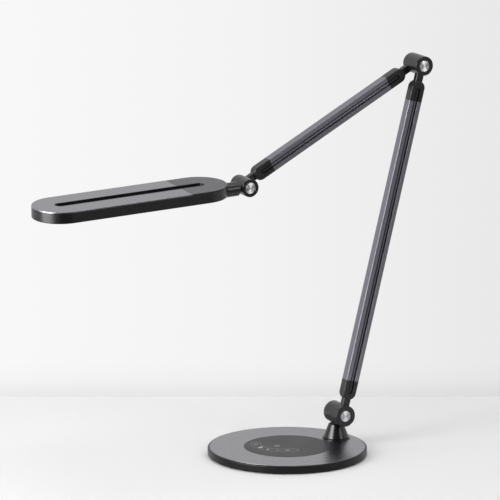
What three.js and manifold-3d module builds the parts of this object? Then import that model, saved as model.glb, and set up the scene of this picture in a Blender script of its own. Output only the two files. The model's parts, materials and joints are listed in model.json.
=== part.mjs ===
// Swing arm desk lamp: a round weighted base with a touch panel, a conical post, two extruded
// arms that meet in friction knuckles, and a slotted flat LED head on a swivel stub.
//
// Millimetres and degrees, +Z up. The underside of the base is z = 0 and its centre is the
// origin. The arms swing in planes parallel to XZ, the knuckles turn about Y, the post stands
// near the +X edge of the base and the head reaches out towards -X.

import * as THREE from "three";
import { mergeVertices } from "three/addons/utils/BufferGeometryUtils.js";
import Module from "manifold-3d";

const wasm = await Module();
wasm.setup();

// ---------------------------------------------------------------- driving sizes

// Clearances
const seatGap = 0.3; // between a piece and the piece that it rests on or sits in
const runningGap = 0.3; // round a shaft that turns in its bore
const overcut = 1; // of a cutting shape past the face that it opens
const rootDepth = 0.3; // of a boss or a lamp into what it stands on

// Base
const baseRadius = 95;
const padThickness = 1;
const padInset = 5; // of the pad from the outside of the rim
const coverThickness = 1.6;
const baseCavity = 5; // clear height inside the base
const housingWall = 1.2; // top wall, under the aluminium plate
const rimWall = 3;
const rimLip = 2; // black edge left showing round the plate
const rimRound = 1.4;
const rimChamfer = 1.2;
const rimDrop = 0.3; // top of the rim below the top of the plate
const plateThickness = 1.3;
const plateChamfer = 0.25;
const panelMargin = 2.3; // of the plate left between the touch panel and the foot ring
const panelRise = 0.2; // touch panel above the plate
const panelLedge = 4; // width of housing wall under the edge of the touch panel
const boardThickness = 1.2;
const boardInset = 2.2; // touch board inside its opening
const chipCount = 3;
const chipPitch = 20;
const chipLength = 10;
const chipWidth = 8;
const chipHeight = 0.6;
const weightInset = 20; // of the weight from the outside of the rim
const weightThickness = 3.6;
const weightClearance = 4; // of the weight round the nut of the stem
const coverScrews = 4;
const coverScrewInset = 12; // of the cover screws from the outside of the rim
const coverScrewRadius = 1.5;
const coverScrewHead = 2.9;
const coverScrewSink = 1.4; // depth of the countersunk head
const coverScrewGrip = 2.6; // thread past the cover
const threadChamfer = 0.5;
const screwBossWall = 2;
const inletLength = 10.5;
const inletWidth = 6.8;
const inletNose = 2.4; // radius of the round nose in the rim
const inletBore = 1.75;
const inletDepth = 8;
const inletPin = 0.6;
const inletPinRecess = 1; // tip of the pin inside the mouth

// Post
const postInset = 25; // of the axis of the post from the outside of the rim, along X
const footRadius = 16.8;
const footThickness = 1.2;
const coneFootRadius = 15.2;
const coneTopRadius = 8.8;
const coneRound = 1.6;
const coneLip = 0.6; // upright edge at the foot of the cone
const coneHeight = 17;
const turretNeck = 0.5; // from the top of the cone to the barrel
const turretNeckRoot = 2; // of the neck inside the cone
const stemRadius = 5;
const stemBore = 2.5;
const stemGrip = 8.5; // length of the stem inside the post
const stemNutHeight = 2.8;
const stemNutFlat = 7.6; // from the axis to a flat
const stemWasherThickness = 0.7;
const stemWasherRadius = 8.6;

// Knuckles
const barrelLength = 32.6;
const baseBarrelRadius = 12.9;
const elbowBarrelRadius = 11.6;
const headBarrelRadius = 10.7;
const barrelRound = 0.9;
const barrelSeamEdge = 0.2; // where the two halves meet
const frictionWasher = 0.6;
const frictionWasherInset = 0.4; // of the washer from the outside of the barrel
const boltRadius = 3;
const boltHeadRadius = 5;
const boltHeadHeight = 3.2;
const boltSocket = 1.6; // radius of the socket in the bolt head
const boltSocketDepth = 1.6;
const nutFlat = 4.9;
const nutHeight = 3;
const springWasher = 0.8;
const springWasherRadius = 5.8;
const pocketRadius = 6.9;
const pocketDepth = 7.6;
const capThickness = 1.8;
const capRecess = 0.3;
const capEdge = 0.4;

// Arms
const lowerArmLength = 428.8; // knuckle to knuckle
const upperArmLength = 263.5;
const armWidth = 16.8; // in the plane that the arm swings in
const armThickness = 12;
const armEdge = 0.8;
const channelWidth = 5.6;
const channelDepth = 3.8;
const channelRib = 1.6; // radius of the half-round rib along the floor of the channel
const ribFacets = 12;
const armWall = 1.3;
const endCapReach = 43.2; // from the knuckle axis to the cut end of the extrusion
const channelRunOut = 16; // channel in the end cap
const ribStart = 1.4; // from the end of the channel to the round end of its rib
const neckWidth = 9.4;
const neckThickness = 7.8;
const neckEdge = 1.4;
const neckReach = 7.2; // bare neck from the round of a knuckle to the tip of the end cap
const spigotLength = 12;

// Head
const neckStubRadius = 5.6;
const collarRadius = 8.5;
const collarStart = 13.6; // all of these are measured from the axis of the head knuckle
const headStart = 30.3;
const headEnd = 275.1;
const headSeam = 88.9;
const slotStart = 58.9;
const slotEnd = 249.1;
const headRadius = 35;
const slotRadius = 6.2;
const headThickness = 13.9;
const headRise = 11.9; // top of the head above the axis of the stub
const headWall = 2;
const headWeb = 2; // wall between the lamps and the top plate
const headEdge = 0.5;
const topPlateThickness = 1.4;
const topPlateEdge = 0.35;
const seamGap = 0.4;
const diffuserThickness = 2;
const diffuserRecess = 0.3;
const ledBoardWidth = 15;
const ledBoardMargin = 10; // board short of the seam wall and of the far arc
const ledScrewInset = 4; // from the end of the board
const ledInset = 10; // of the first and last lamp from the end of the board
const ledCount = 12;
const ledSize = 3;
const ledHeight = 0.8;
const swivelRadius = 3;
const swivelGrip = 9; // of the swivel pin inside the stub
const keelLength = 24;
const swivelNutRadius = 4.6;
const swivelNutLength = 3.4;
const swivelWasher = 0.8;
const swivelWasherRadius = 5;
const swivelSeat = 10; // thickness of the wall that the head turns on
const nutRoomMargin = 1; // past the end of the swivel pin
const smallScrewRadius = 1.1;
const smallScrewHead = 2.1;
const smallScrewHeadHeight = 1.2;
const smallScrewEdge = 0.4;
const smallScrewGrip = 4;
const coverBossRadius = 2.6;
const webSkin = 0.4; // of the web left past a board screw, and of room past its tip

// Pose in which the lamp stands
const lowerArmAngle = 14.05; // back from upright
const upperArmAngle = 28.6; // down from level
const headAngle = 2.3; // down from level
const twistAngle = -3.3; // about the stub

// Facets round a full circle
const baseFacets = 48;
const barrelFacets = 24;
const headFacets = 36;
const smallFacets = 10;

// ---------------------------------------------------------------- sizes that follow

const rad = THREE.MathUtils.degToRad;

const coverTop = padThickness + coverThickness;
const ceiling = coverTop + baseCavity;
const plateSeat = ceiling + housingWall;
const plateTop = plateSeat + seatGap + plateThickness;
const rimTop = plateTop - rimDrop;
const plateRadius = baseRadius - rimLip - seatGap;
const coverRadius = baseRadius - rimWall - seatGap;
const weightRadius = baseRadius - weightInset;
const inletHeight = (coverTop + ceiling) / 2;
const footTop = plateTop + footThickness;
const postBottom = footTop + seatGap;
const coneTop = postBottom + coneHeight;
const baseJointZ = coneTop + turretNeck + baseBarrelRadius;
const halfBarrel = barrelLength / 2;
const armOffset = barrelLength / 4; // of an arm from the middle plane of the lamp
const postX = baseRadius - postInset;
const postY = armOffset;
const panelRadius = Math.hypot(postX, postY) - footRadius - panelMargin;
const boardRadius = panelRadius - panelLedge - boardInset;
const barrelInner = frictionWasher / 2 + seatGap;
const boltBore = boltRadius + runningGap;
const pocketFloor = halfBarrel - pocketDepth;
const capRadius = pocketRadius - seatGap;
const headArcStart = headStart + headRadius;
const headArcEnd = headEnd - headRadius;
const slotArcStart = slotStart + slotRadius;
const slotArcEnd = slotEnd - slotRadius;
const headBottom = headRise - headThickness;
const frameTop = headRise - topPlateThickness - seatGap;
const lampCeiling = frameTop - headWeb;
const swivelSeatEnd = headStart + swivelSeat;
const swivelWasherLow = swivelSeatEnd + seatGap;
const swivelNutLow = swivelWasherLow + swivelWasher + seatGap;
const swivelPinEnd = swivelNutLow + swivelNutLength;
const channelFloor = armThickness / 2 - channelDepth;
const ledBoardY = (slotRadius + headRadius) / 2;
const ledBoardStart = headSeam + headWall + ledBoardMargin;
const ledBoardEnd = headArcEnd - ledBoardMargin;
const ledBoardTop = lampCeiling - seatGap;
const coverBossBottom = (headBottom + frameTop) / 2;
const ledScrewSpots = [-1, 1].flatMap((side) =>
  [ledBoardStart + ledScrewInset, ledBoardEnd - ledScrewInset].map((x) => [x, side * ledBoardY]),
);
const endCoverScrewSpots = [-1, 1].map((side) => [headArcStart, side * ledBoardY]);

// ---------------------------------------------------------------- materials

function finish(color, roughness, metalness) {
  return new THREE.MeshStandardMaterial({ color, roughness, metalness });
}

const looks = {
  rubber: () => finish(0x1c1c1d, 0.9, 0),
  steel: () => finish(0x8d8f92, 0.45, 1),
  iron: () => finish(0x4a4a4c, 0.8, 0.6),
  blackPlastic: () => finish(0x2a2a2c, 0.45, 0),
  blackMetal: () => finish(0x323235, 0.4, 0.5),
  satinAluminium: () => finish(0x9b9ba0, 0.4, 0.9),
  greyAnodised: () => finish(0x57565c, 0.4, 0.8),
  greyPlastic: () => finish(0x77777c, 0.4, 0.1),
  panelPlastic: () => finish(0x656567, 0.35, 0),
  spunAluminium: () => finish(0xd0d0d4, 0.25, 1),
  board: () => finish(0x1f4d33, 0.5, 0),
  whiteBoard: () => finish(0xe8e8e6, 0.5, 0),
  opal: () => finish(0xf2f2ee, 0.55, 0),
  nylon: () => finish(0x2b2b2d, 0.5, 0),
};

// ---------------------------------------------------------------- helpers

function place(x = 0, y = 0, z = 0, turnX = 0, turnY = 0, turnZ = 0) {
  const turn = new THREE.Euler(rad(turnX), rad(turnY), rad(turnZ));
  return new THREE.Matrix4().makeRotationFromEuler(turn).setPosition(x, y, z);
}

// A closed geometry as a manifold-3d solid, moved by an optional matrix.
function solid(geometry, matrix) {
  const copy = geometry.clone();
  copy.deleteAttribute("normal");
  copy.deleteAttribute("uv");
  if (matrix) copy.applyMatrix4(matrix);
  const merged = mergeVertices(copy, 1e-4);
  return new wasm.Manifold(
    new wasm.Mesh({
      numProp: 3,
      vertProperties: new Float32Array(merged.attributes.position.array),
      triVerts: new Uint32Array(merged.index.array),
    }),
  );
}

function geometryOf(body) {
  const mesh = body.getMesh();
  const geometry = new THREE.BufferGeometry();
  geometry.setAttribute("position", new THREE.BufferAttribute(mesh.vertProperties, 3));
  geometry.setIndex(new THREE.BufferAttribute(mesh.triVerts, 1));
  geometry.computeVertexNormals();
  return geometry;
}

const join = (first, ...others) => others.reduce((sum, other) => sum.add(other), first);
const cut = (first, ...others) => others.reduce((rest, other) => rest.subtract(other), first);

function add(parent, name, shape, material) {
  const geometry = shape.isBufferGeometry ? shape : geometryOf(shape);
  const mesh = new THREE.Mesh(geometry, material);
  mesh.name = name;
  parent.add(mesh);
  return mesh;
}

function group(parent, x = 0, y = 0, z = 0, turnX = 0, turnY = 0, turnZ = 0) {
  const made = new THREE.Group();
  made.position.set(x, y, z);
  made.rotation.set(rad(turnX), rad(turnY), rad(turnZ));
  parent.add(made);
  return made;
}

// A closed ring profile [radius, height], anticlockwise, turned about the Y axis.
function ring(points, facets) {
  const profile = [...points, points[0]].map(([r, h]) => new THREE.Vector2(r, h));
  return new THREE.LatheGeometry(profile, facets);
}

// A profile that starts and ends on the axis, turned about the Y axis.
function turned(points, facets) {
  return new THREE.LatheGeometry(points.map(([r, h]) => new THREE.Vector2(r, h)), facets);
}

const upright = (geometry) => geometry.rotateX(Math.PI / 2); // the Y axis becomes Z
const outward = (geometry) => geometry.rotateZ(-Math.PI / 2); // the Y axis becomes X

function tube(outer, inner, low, high, facets) {
  return ring([[inner, low], [outer, low], [outer, high], [inner, high]], facets);
}

function rod(radius, low, high, facets) {
  return turned([[0, low], [radius, low], [radius, high], [0, high]], facets);
}

// A quarter round in steps, from angle to angle about a centre, for a turned profile.
function arcPoints(centreR, centreH, radius, from, to, steps) {
  return Array.from({ length: steps + 1 }, (_, i) => {
    const angle = rad(from + ((to - from) * i) / steps);
    return [centreR + radius * Math.cos(angle), centreH + radius * Math.sin(angle)];
  });
}

function extrude(shape, low, high, chamfer = 0, facets = headFacets) {
  const geometry = new THREE.ExtrudeGeometry(shape, {
    depth: high - low - 2 * chamfer,
    bevelEnabled: chamfer > 0,
    bevelThickness: chamfer,
    bevelSize: chamfer,
    bevelOffset: -chamfer,
    bevelSegments: 1,
    curveSegments: Math.ceil(facets / 4), // an arc gets twice as many steps as this
  });
  return geometry.translate(0, 0, low + chamfer);
}

function block(x0, x1, y0, y1, z0, z1) {
  const box = new THREE.BoxGeometry(x1 - x0, y1 - y0, z1 - z0);
  return box.translate((x0 + x1) / 2, (y0 + y1) / 2, (z0 + z1) / 2);
}

function hexagon(flat, boreRadius) {
  const corner = flat / Math.cos(Math.PI / 6);
  const shape = new THREE.Shape();
  for (let i = 0; i < 6; i++) {
    const angle = rad(60 * i);
    const point = [corner * Math.cos(angle), corner * Math.sin(angle)];
    if (i === 0) shape.moveTo(...point);
    else shape.lineTo(...point);
  }
  shape.closePath();
  shape.holes.push(new THREE.Path().absarc(0, 0, boreRadius, 0, 2 * Math.PI, true));
  return shape;
}

function chamferedRectangle(width, height, edge) {
  const w = width / 2;
  const h = height / 2;
  return new THREE.Shape([
    new THREE.Vector2(w, -h + edge),
    new THREE.Vector2(w, h - edge),
    new THREE.Vector2(w - edge, h),
    new THREE.Vector2(-w + edge, h),
    new THREE.Vector2(-w, h - edge),
    new THREE.Vector2(-w, -h + edge),
    new THREE.Vector2(-w + edge, -h),
    new THREE.Vector2(w - edge, -h),
  ]);
}

// A long shape with two round ends on the X axis.
function stadium(arcStart, arcEnd, radius) {
  const shape = new THREE.Shape();
  shape.absarc(arcEnd, 0, radius, -Math.PI / 2, Math.PI / 2, false);
  shape.absarc(arcStart, 0, radius, Math.PI / 2, (3 * Math.PI) / 2, false);
  shape.closePath();
  return shape;
}

// Half of a slotted stadium: round at the outer end, open at the straight cut.
function slottedEnd(cutX, arcX, radius, slotArcX, slotHalf) {
  const away = arcX > cutX;
  const from = away ? -Math.PI / 2 : Math.PI / 2;
  const side = away ? -1 : 1;
  const shape = new THREE.Shape();
  shape.absarc(arcX, 0, radius, from, from + Math.PI, false);
  shape.lineTo(cutX, -side * radius);
  shape.lineTo(cutX, -side * slotHalf);
  shape.absarc(slotArcX, 0, slotHalf, from + Math.PI, from, true);
  shape.lineTo(cutX, side * slotHalf);
  shape.lineTo(cutX, side * radius);
  shape.closePath();
  return shape;
}

// ---------------------------------------------------------------- base

const spotsOnCircle = (count, radius) =>
  Array.from({ length: count }, (_, i) => {
    const angle = rad((360 * (i + 0.5)) / count);
    return [radius * Math.cos(angle), radius * Math.sin(angle)];
  });

const coverScrewSpots = spotsOnCircle(coverScrews, baseRadius - coverScrewInset);

function uprightRod(x, y, radius, low, high, facets = smallFacets) {
  return solid(upright(rod(radius, low, high, facets)), place(x, y, 0));
}

function basePad() {
  return upright(rod(baseRadius - padInset, 0, padThickness, baseFacets));
}

function baseCover() {
  const disc = solid(upright(rod(coverRadius, padThickness, coverTop, baseFacets)));
  const sinks = coverScrewSpots.map(([x, y]) => {
    const wide = coverScrewHead + seatGap;
    const narrow = coverScrewRadius + seatGap;
    const sink = turned(
      [
        [0, padThickness - overcut],
        [wide, padThickness - overcut],
        [wide, padThickness],
        [narrow, padThickness + coverScrewSink],
        [narrow, coverTop + overcut],
        [0, coverTop + overcut],
      ],
      smallFacets,
    );
    return solid(upright(sink), place(x, y, 0));
  });
  return cut(disc, ...sinks);
}

function baseWeight() {
  const disc = solid(
    upright(rod(weightRadius, coverTop, coverTop + weightThickness, baseFacets)),
  );
  const room = stemNutFlat / Math.cos(Math.PI / 6) + weightClearance;
  return cut(disc, uprightRod(postX, postY, room, 0, plateTop, barrelFacets));
}

function baseHousing() {
  const openingRadius = panelRadius - panelLedge;
  const inner = baseRadius - rimWall;
  const lip = plateRadius + seatGap;
  const shell = ring(
    [
      [inner, padThickness],
      [baseRadius - rimChamfer, padThickness],
      [baseRadius, padThickness + rimChamfer],
      ...arcPoints(baseRadius - rimRound, rimTop - rimRound, rimRound, 0, 90, 2),
      [lip, rimTop],
      [lip, plateSeat],
      [openingRadius, plateSeat],
      [openingRadius, ceiling],
      [inner, ceiling],
    ],
    baseFacets,
  );
  const bossBottom = coverTop + seatGap;
  const bosses = coverScrewSpots.map(([x, y]) =>
    uprightRod(x, y, coverScrewRadius + screwBossWall, bossBottom, ceiling + rootDepth),
  );
  const pilots = coverScrewSpots.map(([x, y]) =>
    uprightRod(x, y, coverScrewRadius + seatGap, 0, coverTop + coverScrewGrip + seatGap),
  );
  const stemHole = uprightRod(postX, postY, stemRadius + runningGap, 0, plateTop);
  const noseHole = solid(
    outward(rod(inletNose + seatGap, inner - overcut, baseRadius + overcut, smallFacets)),
    place(0, 0, inletHeight),
  );
  return cut(join(solid(upright(shell)), ...bosses), ...pilots, stemHole, noseHole);
}

function basePlate() {
  const inner = panelRadius + seatGap;
  const low = plateSeat + seatGap;
  const profile = [
    [inner, low],
    [plateRadius, low],
    [plateRadius, plateTop - plateChamfer],
    [plateRadius - plateChamfer, plateTop],
    [inner, plateTop],
  ];
  const disc = solid(upright(ring(profile, baseFacets)));
  return cut(disc, uprightRod(postX, postY, stemRadius + runningGap, 0, plateTop + overcut));
}

function touchPanel() {
  const top = plateTop + panelRise;
  return upright(
    turned(
      [
        [0, plateSeat + seatGap],
        [panelRadius, plateSeat + seatGap],
        [panelRadius, top - plateChamfer],
        [panelRadius - plateChamfer, top],
        [0, top],
      ],
      baseFacets,
    ),
  );
}

function touchBoard() {
  const low = plateSeat - boardThickness;
  const board = solid(upright(rod(boardRadius, low, plateSeat, barrelFacets)));
  const halfLength = chipLength / 2;
  const halfWidth = chipWidth / 2;
  const chips = Array.from({ length: chipCount }, (_, i) => {
    const y = chipPitch * (i - (chipCount - 1) / 2);
    return solid(
      block(
        -halfLength,
        halfLength,
        y - halfWidth,
        y + halfWidth,
        low - chipHeight,
        low + rootDepth,
      ),
    );
  });
  return join(board, ...chips);
}

function powerInlet() {
  const inner = baseRadius - rimWall;
  const back = inner - seatGap - inletLength;
  const half = baseCavity / 2 - seatGap;
  const front = baseRadius - rimChamfer;
  const body = solid(
    block(
      back,
      inner - seatGap,
      -inletWidth / 2,
      inletWidth / 2,
      inletHeight - half,
      inletHeight + half,
    ),
  );
  const along = (radius, low, high) =>
    solid(outward(rod(radius, low, high, smallFacets)), place(0, 0, inletHeight));
  const nose = along(inletNose, inner - seatGap - rootDepth, front);
  const bore = along(inletBore, front - inletDepth, front + overcut);
  const pin = along(inletPin, front - inletDepth - rootDepth, front - inletPinRecess);
  return join(cut(join(body, nose), bore), pin);
}

function coverScrew() {
  const low = padThickness + seatGap / 2;
  const high = coverTop + coverScrewGrip;
  return upright(
    turned(
      [
        [0, low],
        [coverScrewHead, low],
        [coverScrewRadius, low + coverScrewSink],
        [coverScrewRadius, high - threadChamfer],
        [coverScrewRadius - threadChamfer, high],
        [0, high],
      ],
      smallFacets,
    ),
  );
}

function addBase(lamp) {
  add(lamp, "base_rubber_pad", basePad(), looks.rubber());
  add(lamp, "base_bottom_cover", baseCover(), looks.steel());
  add(lamp, "base_weight", baseWeight(), looks.iron());
  add(lamp, "base_housing", baseHousing(), looks.blackPlastic());
  add(lamp, "base_top_plate", basePlate(), looks.satinAluminium());
  add(lamp, "touch_panel", touchPanel(), looks.panelPlastic());
  add(lamp, "touch_board", touchBoard(), looks.board());
  add(lamp, "power_inlet", powerInlet(), looks.blackPlastic());
  coverScrewSpots.forEach(([x, y], i) => {
    const screw = add(lamp, `cover_screw_${i + 1}`, coverScrew(), looks.steel());
    screw.position.set(x, y, 0);
  });
  const foot = add(lamp, "post_foot_ring", footRing(), looks.blackMetal());
  foot.position.set(postX, postY, plateTop);
}

// ---------------------------------------------------------------- post

function footRing() {
  const bore = stemRadius + runningGap;
  return upright(
    ring(
      [
        [bore, 0],
        [footRadius, 0],
        [footRadius, footThickness / 2],
        [footRadius - footThickness / 2, footThickness],
        [bore, footThickness],
      ],
      barrelFacets,
    ),
  );
}

// The cone, its short neck and the rear half of the base knuckle, with the knuckle at the origin.
function postBody() {
  const bottom = postBottom - baseJointZ;
  const top = coneTop - baseJointZ;
  const cone = turned(
    [
      [0, bottom],
      [coneFootRadius, bottom],
      [coneFootRadius, bottom + coneLip],
      ...arcPoints(coneTopRadius - coneRound, top - coneRound, coneRound, 20, 90, 3),
      [0, top],
    ],
    barrelFacets,
  );
  const neckSection = chamferedRectangle(neckWidth, neckThickness, neckEdge);
  const neck = extrude(neckSection, top - turretNeckRoot, 0);
  const stemHole = uprightRod(
    0,
    armOffset,
    stemRadius + seatGap,
    bottom - overcut,
    bottom + stemGrip + seatGap,
  );
  const whole = join(
    barrelHalf(baseBarrelRadius, 1),
    solid(upright(cone), place(0, armOffset, 0)),
    solid(neck, place(0, armOffset, 0)),
  );
  return cut(whole, barrelHollow(1), stemHole);
}

function addPost(post) {
  add(post, "post_turret", postBody(), looks.blackMetal()).position.set(postX, 0, baseJointZ);
  const nutTop = ceiling - 2 * seatGap - stemWasherThickness;
  const nutBottom = nutTop - stemNutHeight;
  const stem = tube(stemRadius, stemBore, nutBottom, postBottom + stemGrip, smallFacets);
  const washer = tube(
    stemWasherRadius,
    stemRadius + seatGap,
    nutTop + seatGap,
    nutTop + seatGap + stemWasherThickness,
    smallFacets,
  );
  const nutSection = hexagon(stemNutFlat, stemRadius + seatGap);
  const nut = extrude(nutSection, nutBottom, nutTop, 0, 2 * smallFacets);
  [
    ["post_swivel_stem", upright(stem), looks.steel()],
    ["post_swivel_washer", upright(washer), looks.steel()],
    ["post_swivel_nut", nut, looks.steel()],
  ].forEach(([name, shape, material]) => {
    add(post, name, shape, material).position.set(postX, postY, 0);
  });
}

// ---------------------------------------------------------------- knuckles

// Half of a knuckle barrel about Y, without its bore: side is 1 for the rear half, -1 for the front.
function barrelHalf(radius, side) {
  const profile = [
    [0, barrelInner],
    [radius - barrelSeamEdge, barrelInner],
    [radius, barrelInner + barrelSeamEdge],
    ...arcPoints(radius - barrelRound, halfBarrel - barrelRound, barrelRound, 0, 90, 2),
    [0, halfBarrel],
  ];
  return solid(turned(profile, barrelFacets), place(0, 0, 0, side > 0 ? 0 : 180));
}

// What is cut out of a half for the bolt and for the pocket that its head or nut sits in.
function barrelHollow(side) {
  const profile = [
    [0, 0],
    [boltBore, 0],
    [boltBore, pocketFloor],
    [pocketRadius, pocketFloor],
    [pocketRadius, halfBarrel - capEdge],
    [pocketRadius + capEdge + overcut, halfBarrel + overcut],
    [0, halfBarrel + overcut],
  ];
  return solid(turned(profile, barrelFacets), place(0, 0, 0, side > 0 ? 0 : 180));
}

function jointCap() {
  const face = halfBarrel - capRecess;
  return turned(
    [
      [0, face - capThickness],
      [capRadius, face - capThickness],
      [capRadius, face - capEdge],
      [capRadius - capEdge, face],
      [0, face],
    ],
    barrelFacets,
  );
}

// The bolt runs from its head in the front pocket to its nut in the rear pocket.
function jointBolt() {
  const headFace = -pocketFloor - seatGap;
  const headTop = headFace - boltHeadHeight;
  const end = pocketFloor + 2 * seatGap + springWasher + nutHeight;
  return turned(
    [
      [0, headTop + boltSocketDepth],
      [boltSocket, headTop + boltSocketDepth],
      [boltSocket, headTop],
      [boltHeadRadius, headTop],
      [boltHeadRadius, headFace],
      [boltRadius, headFace],
      [boltRadius, end - threadChamfer],
      [boltRadius - threadChamfer, end],
      [0, end],
    ],
    smallFacets,
  );
}

function jointHardware(name, radius, bolted, front, rear) {
  const springLow = pocketFloor + seatGap;
  const nutLow = springLow + springWasher + seatGap;
  const half = frictionWasher / 2;
  const nut = extrude(hexagon(nutFlat, boltBore), nutLow, nutLow + nutHeight, 0, 2 * smallFacets);
  add(bolted, `${name}_bolt`, jointBolt(), looks.steel());
  add(
    bolted,
    `${name}_friction_washer`,
    tube(radius - frictionWasherInset, boltBore, -half, half, barrelFacets),
    looks.nylon(),
  );
  add(
    bolted,
    `${name}_spring_washer`,
    tube(springWasherRadius, boltBore, springLow, springLow + springWasher, smallFacets),
    looks.steel(),
  );
  add(bolted, `${name}_nut`, nut.rotateX(-Math.PI / 2), looks.steel());
  add(front, `${name}_front_cap`, jointCap().rotateX(Math.PI), looks.spunAluminium());
  add(rear, `${name}_rear_cap`, jointCap(), looks.spunAluminium());
}

// ---------------------------------------------------------------- arms

// The section of the extrusion: a channel down each broad face and a chamber on each side.
function armSection() {
  const w = armWidth / 2;
  const h = armThickness / 2;
  const c = channelWidth / 2;
  const corner = [
    [w, h - armEdge],
    [w - armEdge, h],
    [c, h],
    [c, channelFloor],
  ];
  const arc = arcPoints(0, channelFloor, channelRib, 0, 180, ribFacets / 2);
  const placed = (points, sx, sy) => points.map(([x, y]) => new THREE.Vector2(sx * x, sy * y));
  const shape = new THREE.Shape([
    ...placed(corner, 1, 1),
    ...placed(arc, 1, 1),
    ...placed(corner, -1, 1).reverse(),
    ...placed(corner, -1, -1),
    ...placed(arc, -1, -1),
    ...placed(corner, 1, -1).reverse(),
  ]);
  const near = c + armWall;
  const far = w - armWall;
  const tall = h - armWall;
  [-1, 1].forEach((side) => {
    const x0 = side > 0 ? near : -far;
    const x1 = side > 0 ? far : -near;
    shape.holes.push(
      new THREE.Path([
        new THREE.Vector2(x0, -tall),
        new THREE.Vector2(x0, tall),
        new THREE.Vector2(x1, tall),
        new THREE.Vector2(x1, -tall),
      ]),
    );
  });
  return shape;
}

function armExtrusion(length) {
  return extrude(armSection(), endCapReach + seatGap, length - endCapReach - seatGap);
}

// The outline of an end cap, seen along Y: full width at the extrusion, round at the neck.
function endCapOutline(tip) {
  const half = armWidth / 2;
  const shape = new THREE.Shape();
  shape.absarc(0, tip + half, half, Math.PI, 2 * Math.PI, false);
  shape.lineTo(half, endCapReach);
  shape.lineTo(-half, endCapReach);
  shape.closePath();
  return shape;
}

// The run-out of the channel in an end cap, seen along Y, with its round end.
function channelOutline() {
  const half = channelWidth / 2;
  const shape = new THREE.Shape();
  shape.absarc(0, endCapReach - channelRunOut + half, half, Math.PI, 2 * Math.PI, false);
  shape.lineTo(half, endCapReach + overcut);
  shape.lineTo(-half, endCapReach + overcut);
  shape.closePath();
  return shape;
}

// The rib of the channel in an end cap, along Z, with its round end.
function channelRibEnd() {
  const end = endCapReach - channelRunOut + ribStart;
  const profile = [
    ...arcPoints(0, end + channelRib, channelRib, -90, 0, 3),
    [channelRib, endCapReach + 2 * overcut],
    [0, endCapReach + 2 * overcut],
  ];
  return turned(profile, ribFacets);
}

// An outline drawn in X and Z, made solid from one Y to another.
function slab(outline, low, high, chamfer) {
  const geometry = extrude(outline, -high, -low, chamfer, smallFacets);
  return solid(geometry, place(0, 0, 0, 90));
}

// Moulded end fitting with the knuckle at the origin and the arm along +Z.
function endFitting(radius, side) {
  const y = side * armOffset;
  const half = armThickness / 2;
  const tip = radius + neckReach;
  const body = slab(endCapOutline(tip), y - half, y + half, armEdge);
  // The outline's chamfer rounds the open end too, so that end is squared off again.
  const collar = extrude(
    chamferedRectangle(armWidth, armThickness, armEdge),
    endCapReach - 2 * armEdge,
    endCapReach,
  );
  const neck = extrude(
    chamferedRectangle(neckWidth, neckThickness, neckEdge),
    0,
    tip + armWidth / 2,
  );
  const channels = [
    cut(
      slab(channelOutline(), y - half - overcut, y - channelFloor, 0),
      solid(channelRibEnd(), place(0, y - channelFloor, 0)),
    ),
    cut(
      slab(channelOutline(), y + channelFloor, y + half + overcut, 0),
      solid(channelRibEnd(), place(0, y + channelFloor, 0)),
    ),
  ];
  const near = channelWidth / 2 + armWall + seatGap;
  const far = armWidth / 2 - armWall - seatGap;
  const tall = half - armWall - seatGap;
  const spigots = [-1, 1].map((s) => {
    const x0 = s > 0 ? near : -far;
    const x1 = s > 0 ? far : -near;
    return solid(
      block(x0, x1, y - tall, y + tall, endCapReach - rootDepth, endCapReach + spigotLength),
    );
  });
  const whole = join(
    barrelHalf(radius, side),
    body,
    solid(collar, place(0, y, 0)),
    solid(neck, place(0, y, 0)),
  );
  return join(cut(whole, barrelHollow(side), ...channels), ...spigots);
}

function addArm(arm, name, length, startRadius, endRadius, side, startName, endName) {
  const far = group(arm, 0, 0, length, 0, 180);
  add(arm, `${name}_${startName}_fitting`, endFitting(startRadius, side), looks.blackPlastic());
  add(far, `${name}_${endName}_fitting`, endFitting(endRadius, side), looks.blackPlastic());
  const extrusion = add(arm, `${name}_extrusion`, armExtrusion(length), looks.greyAnodised());
  extrusion.position.y = side * armOffset;
}

// ---------------------------------------------------------------- head
// In these frames X runs outward along the head from the axis of the head knuckle and Z is up.

// The stub that carries the head: front half of the knuckle, neck and swivel collar.
function headStub() {
  const end = headStart - seatGap;
  const profile = [
    [0, 0],
    [neckStubRadius, 0],
    [neckStubRadius, collarStart],
    [collarRadius - headEdge, collarStart],
    [collarRadius, collarStart + headEdge],
    [collarRadius, end],
    [0, end],
  ];
  const stub = solid(outward(turned(profile, barrelFacets)), place(0, armOffset, 0));
  const pinHole = solid(
    outward(rod(swivelRadius + seatGap, end - swivelGrip - seatGap, end + overcut, smallFacets)),
    place(0, armOffset, 0),
  );
  return cut(join(barrelHalf(headBarrelRadius, 1), stub), barrelHollow(1), pinHole);
}

// The fairing under the joint end that holds the swivel pin and its nut.
function headKeel() {
  const end = headStart + keelLength;
  const profile = [
    [0, headStart],
    [collarRadius, headStart],
    ...arcPoints(0, end - collarRadius, collarRadius, 0, 90, 4),
  ];
  return solid(outward(turned(profile, barrelFacets)));
}

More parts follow.
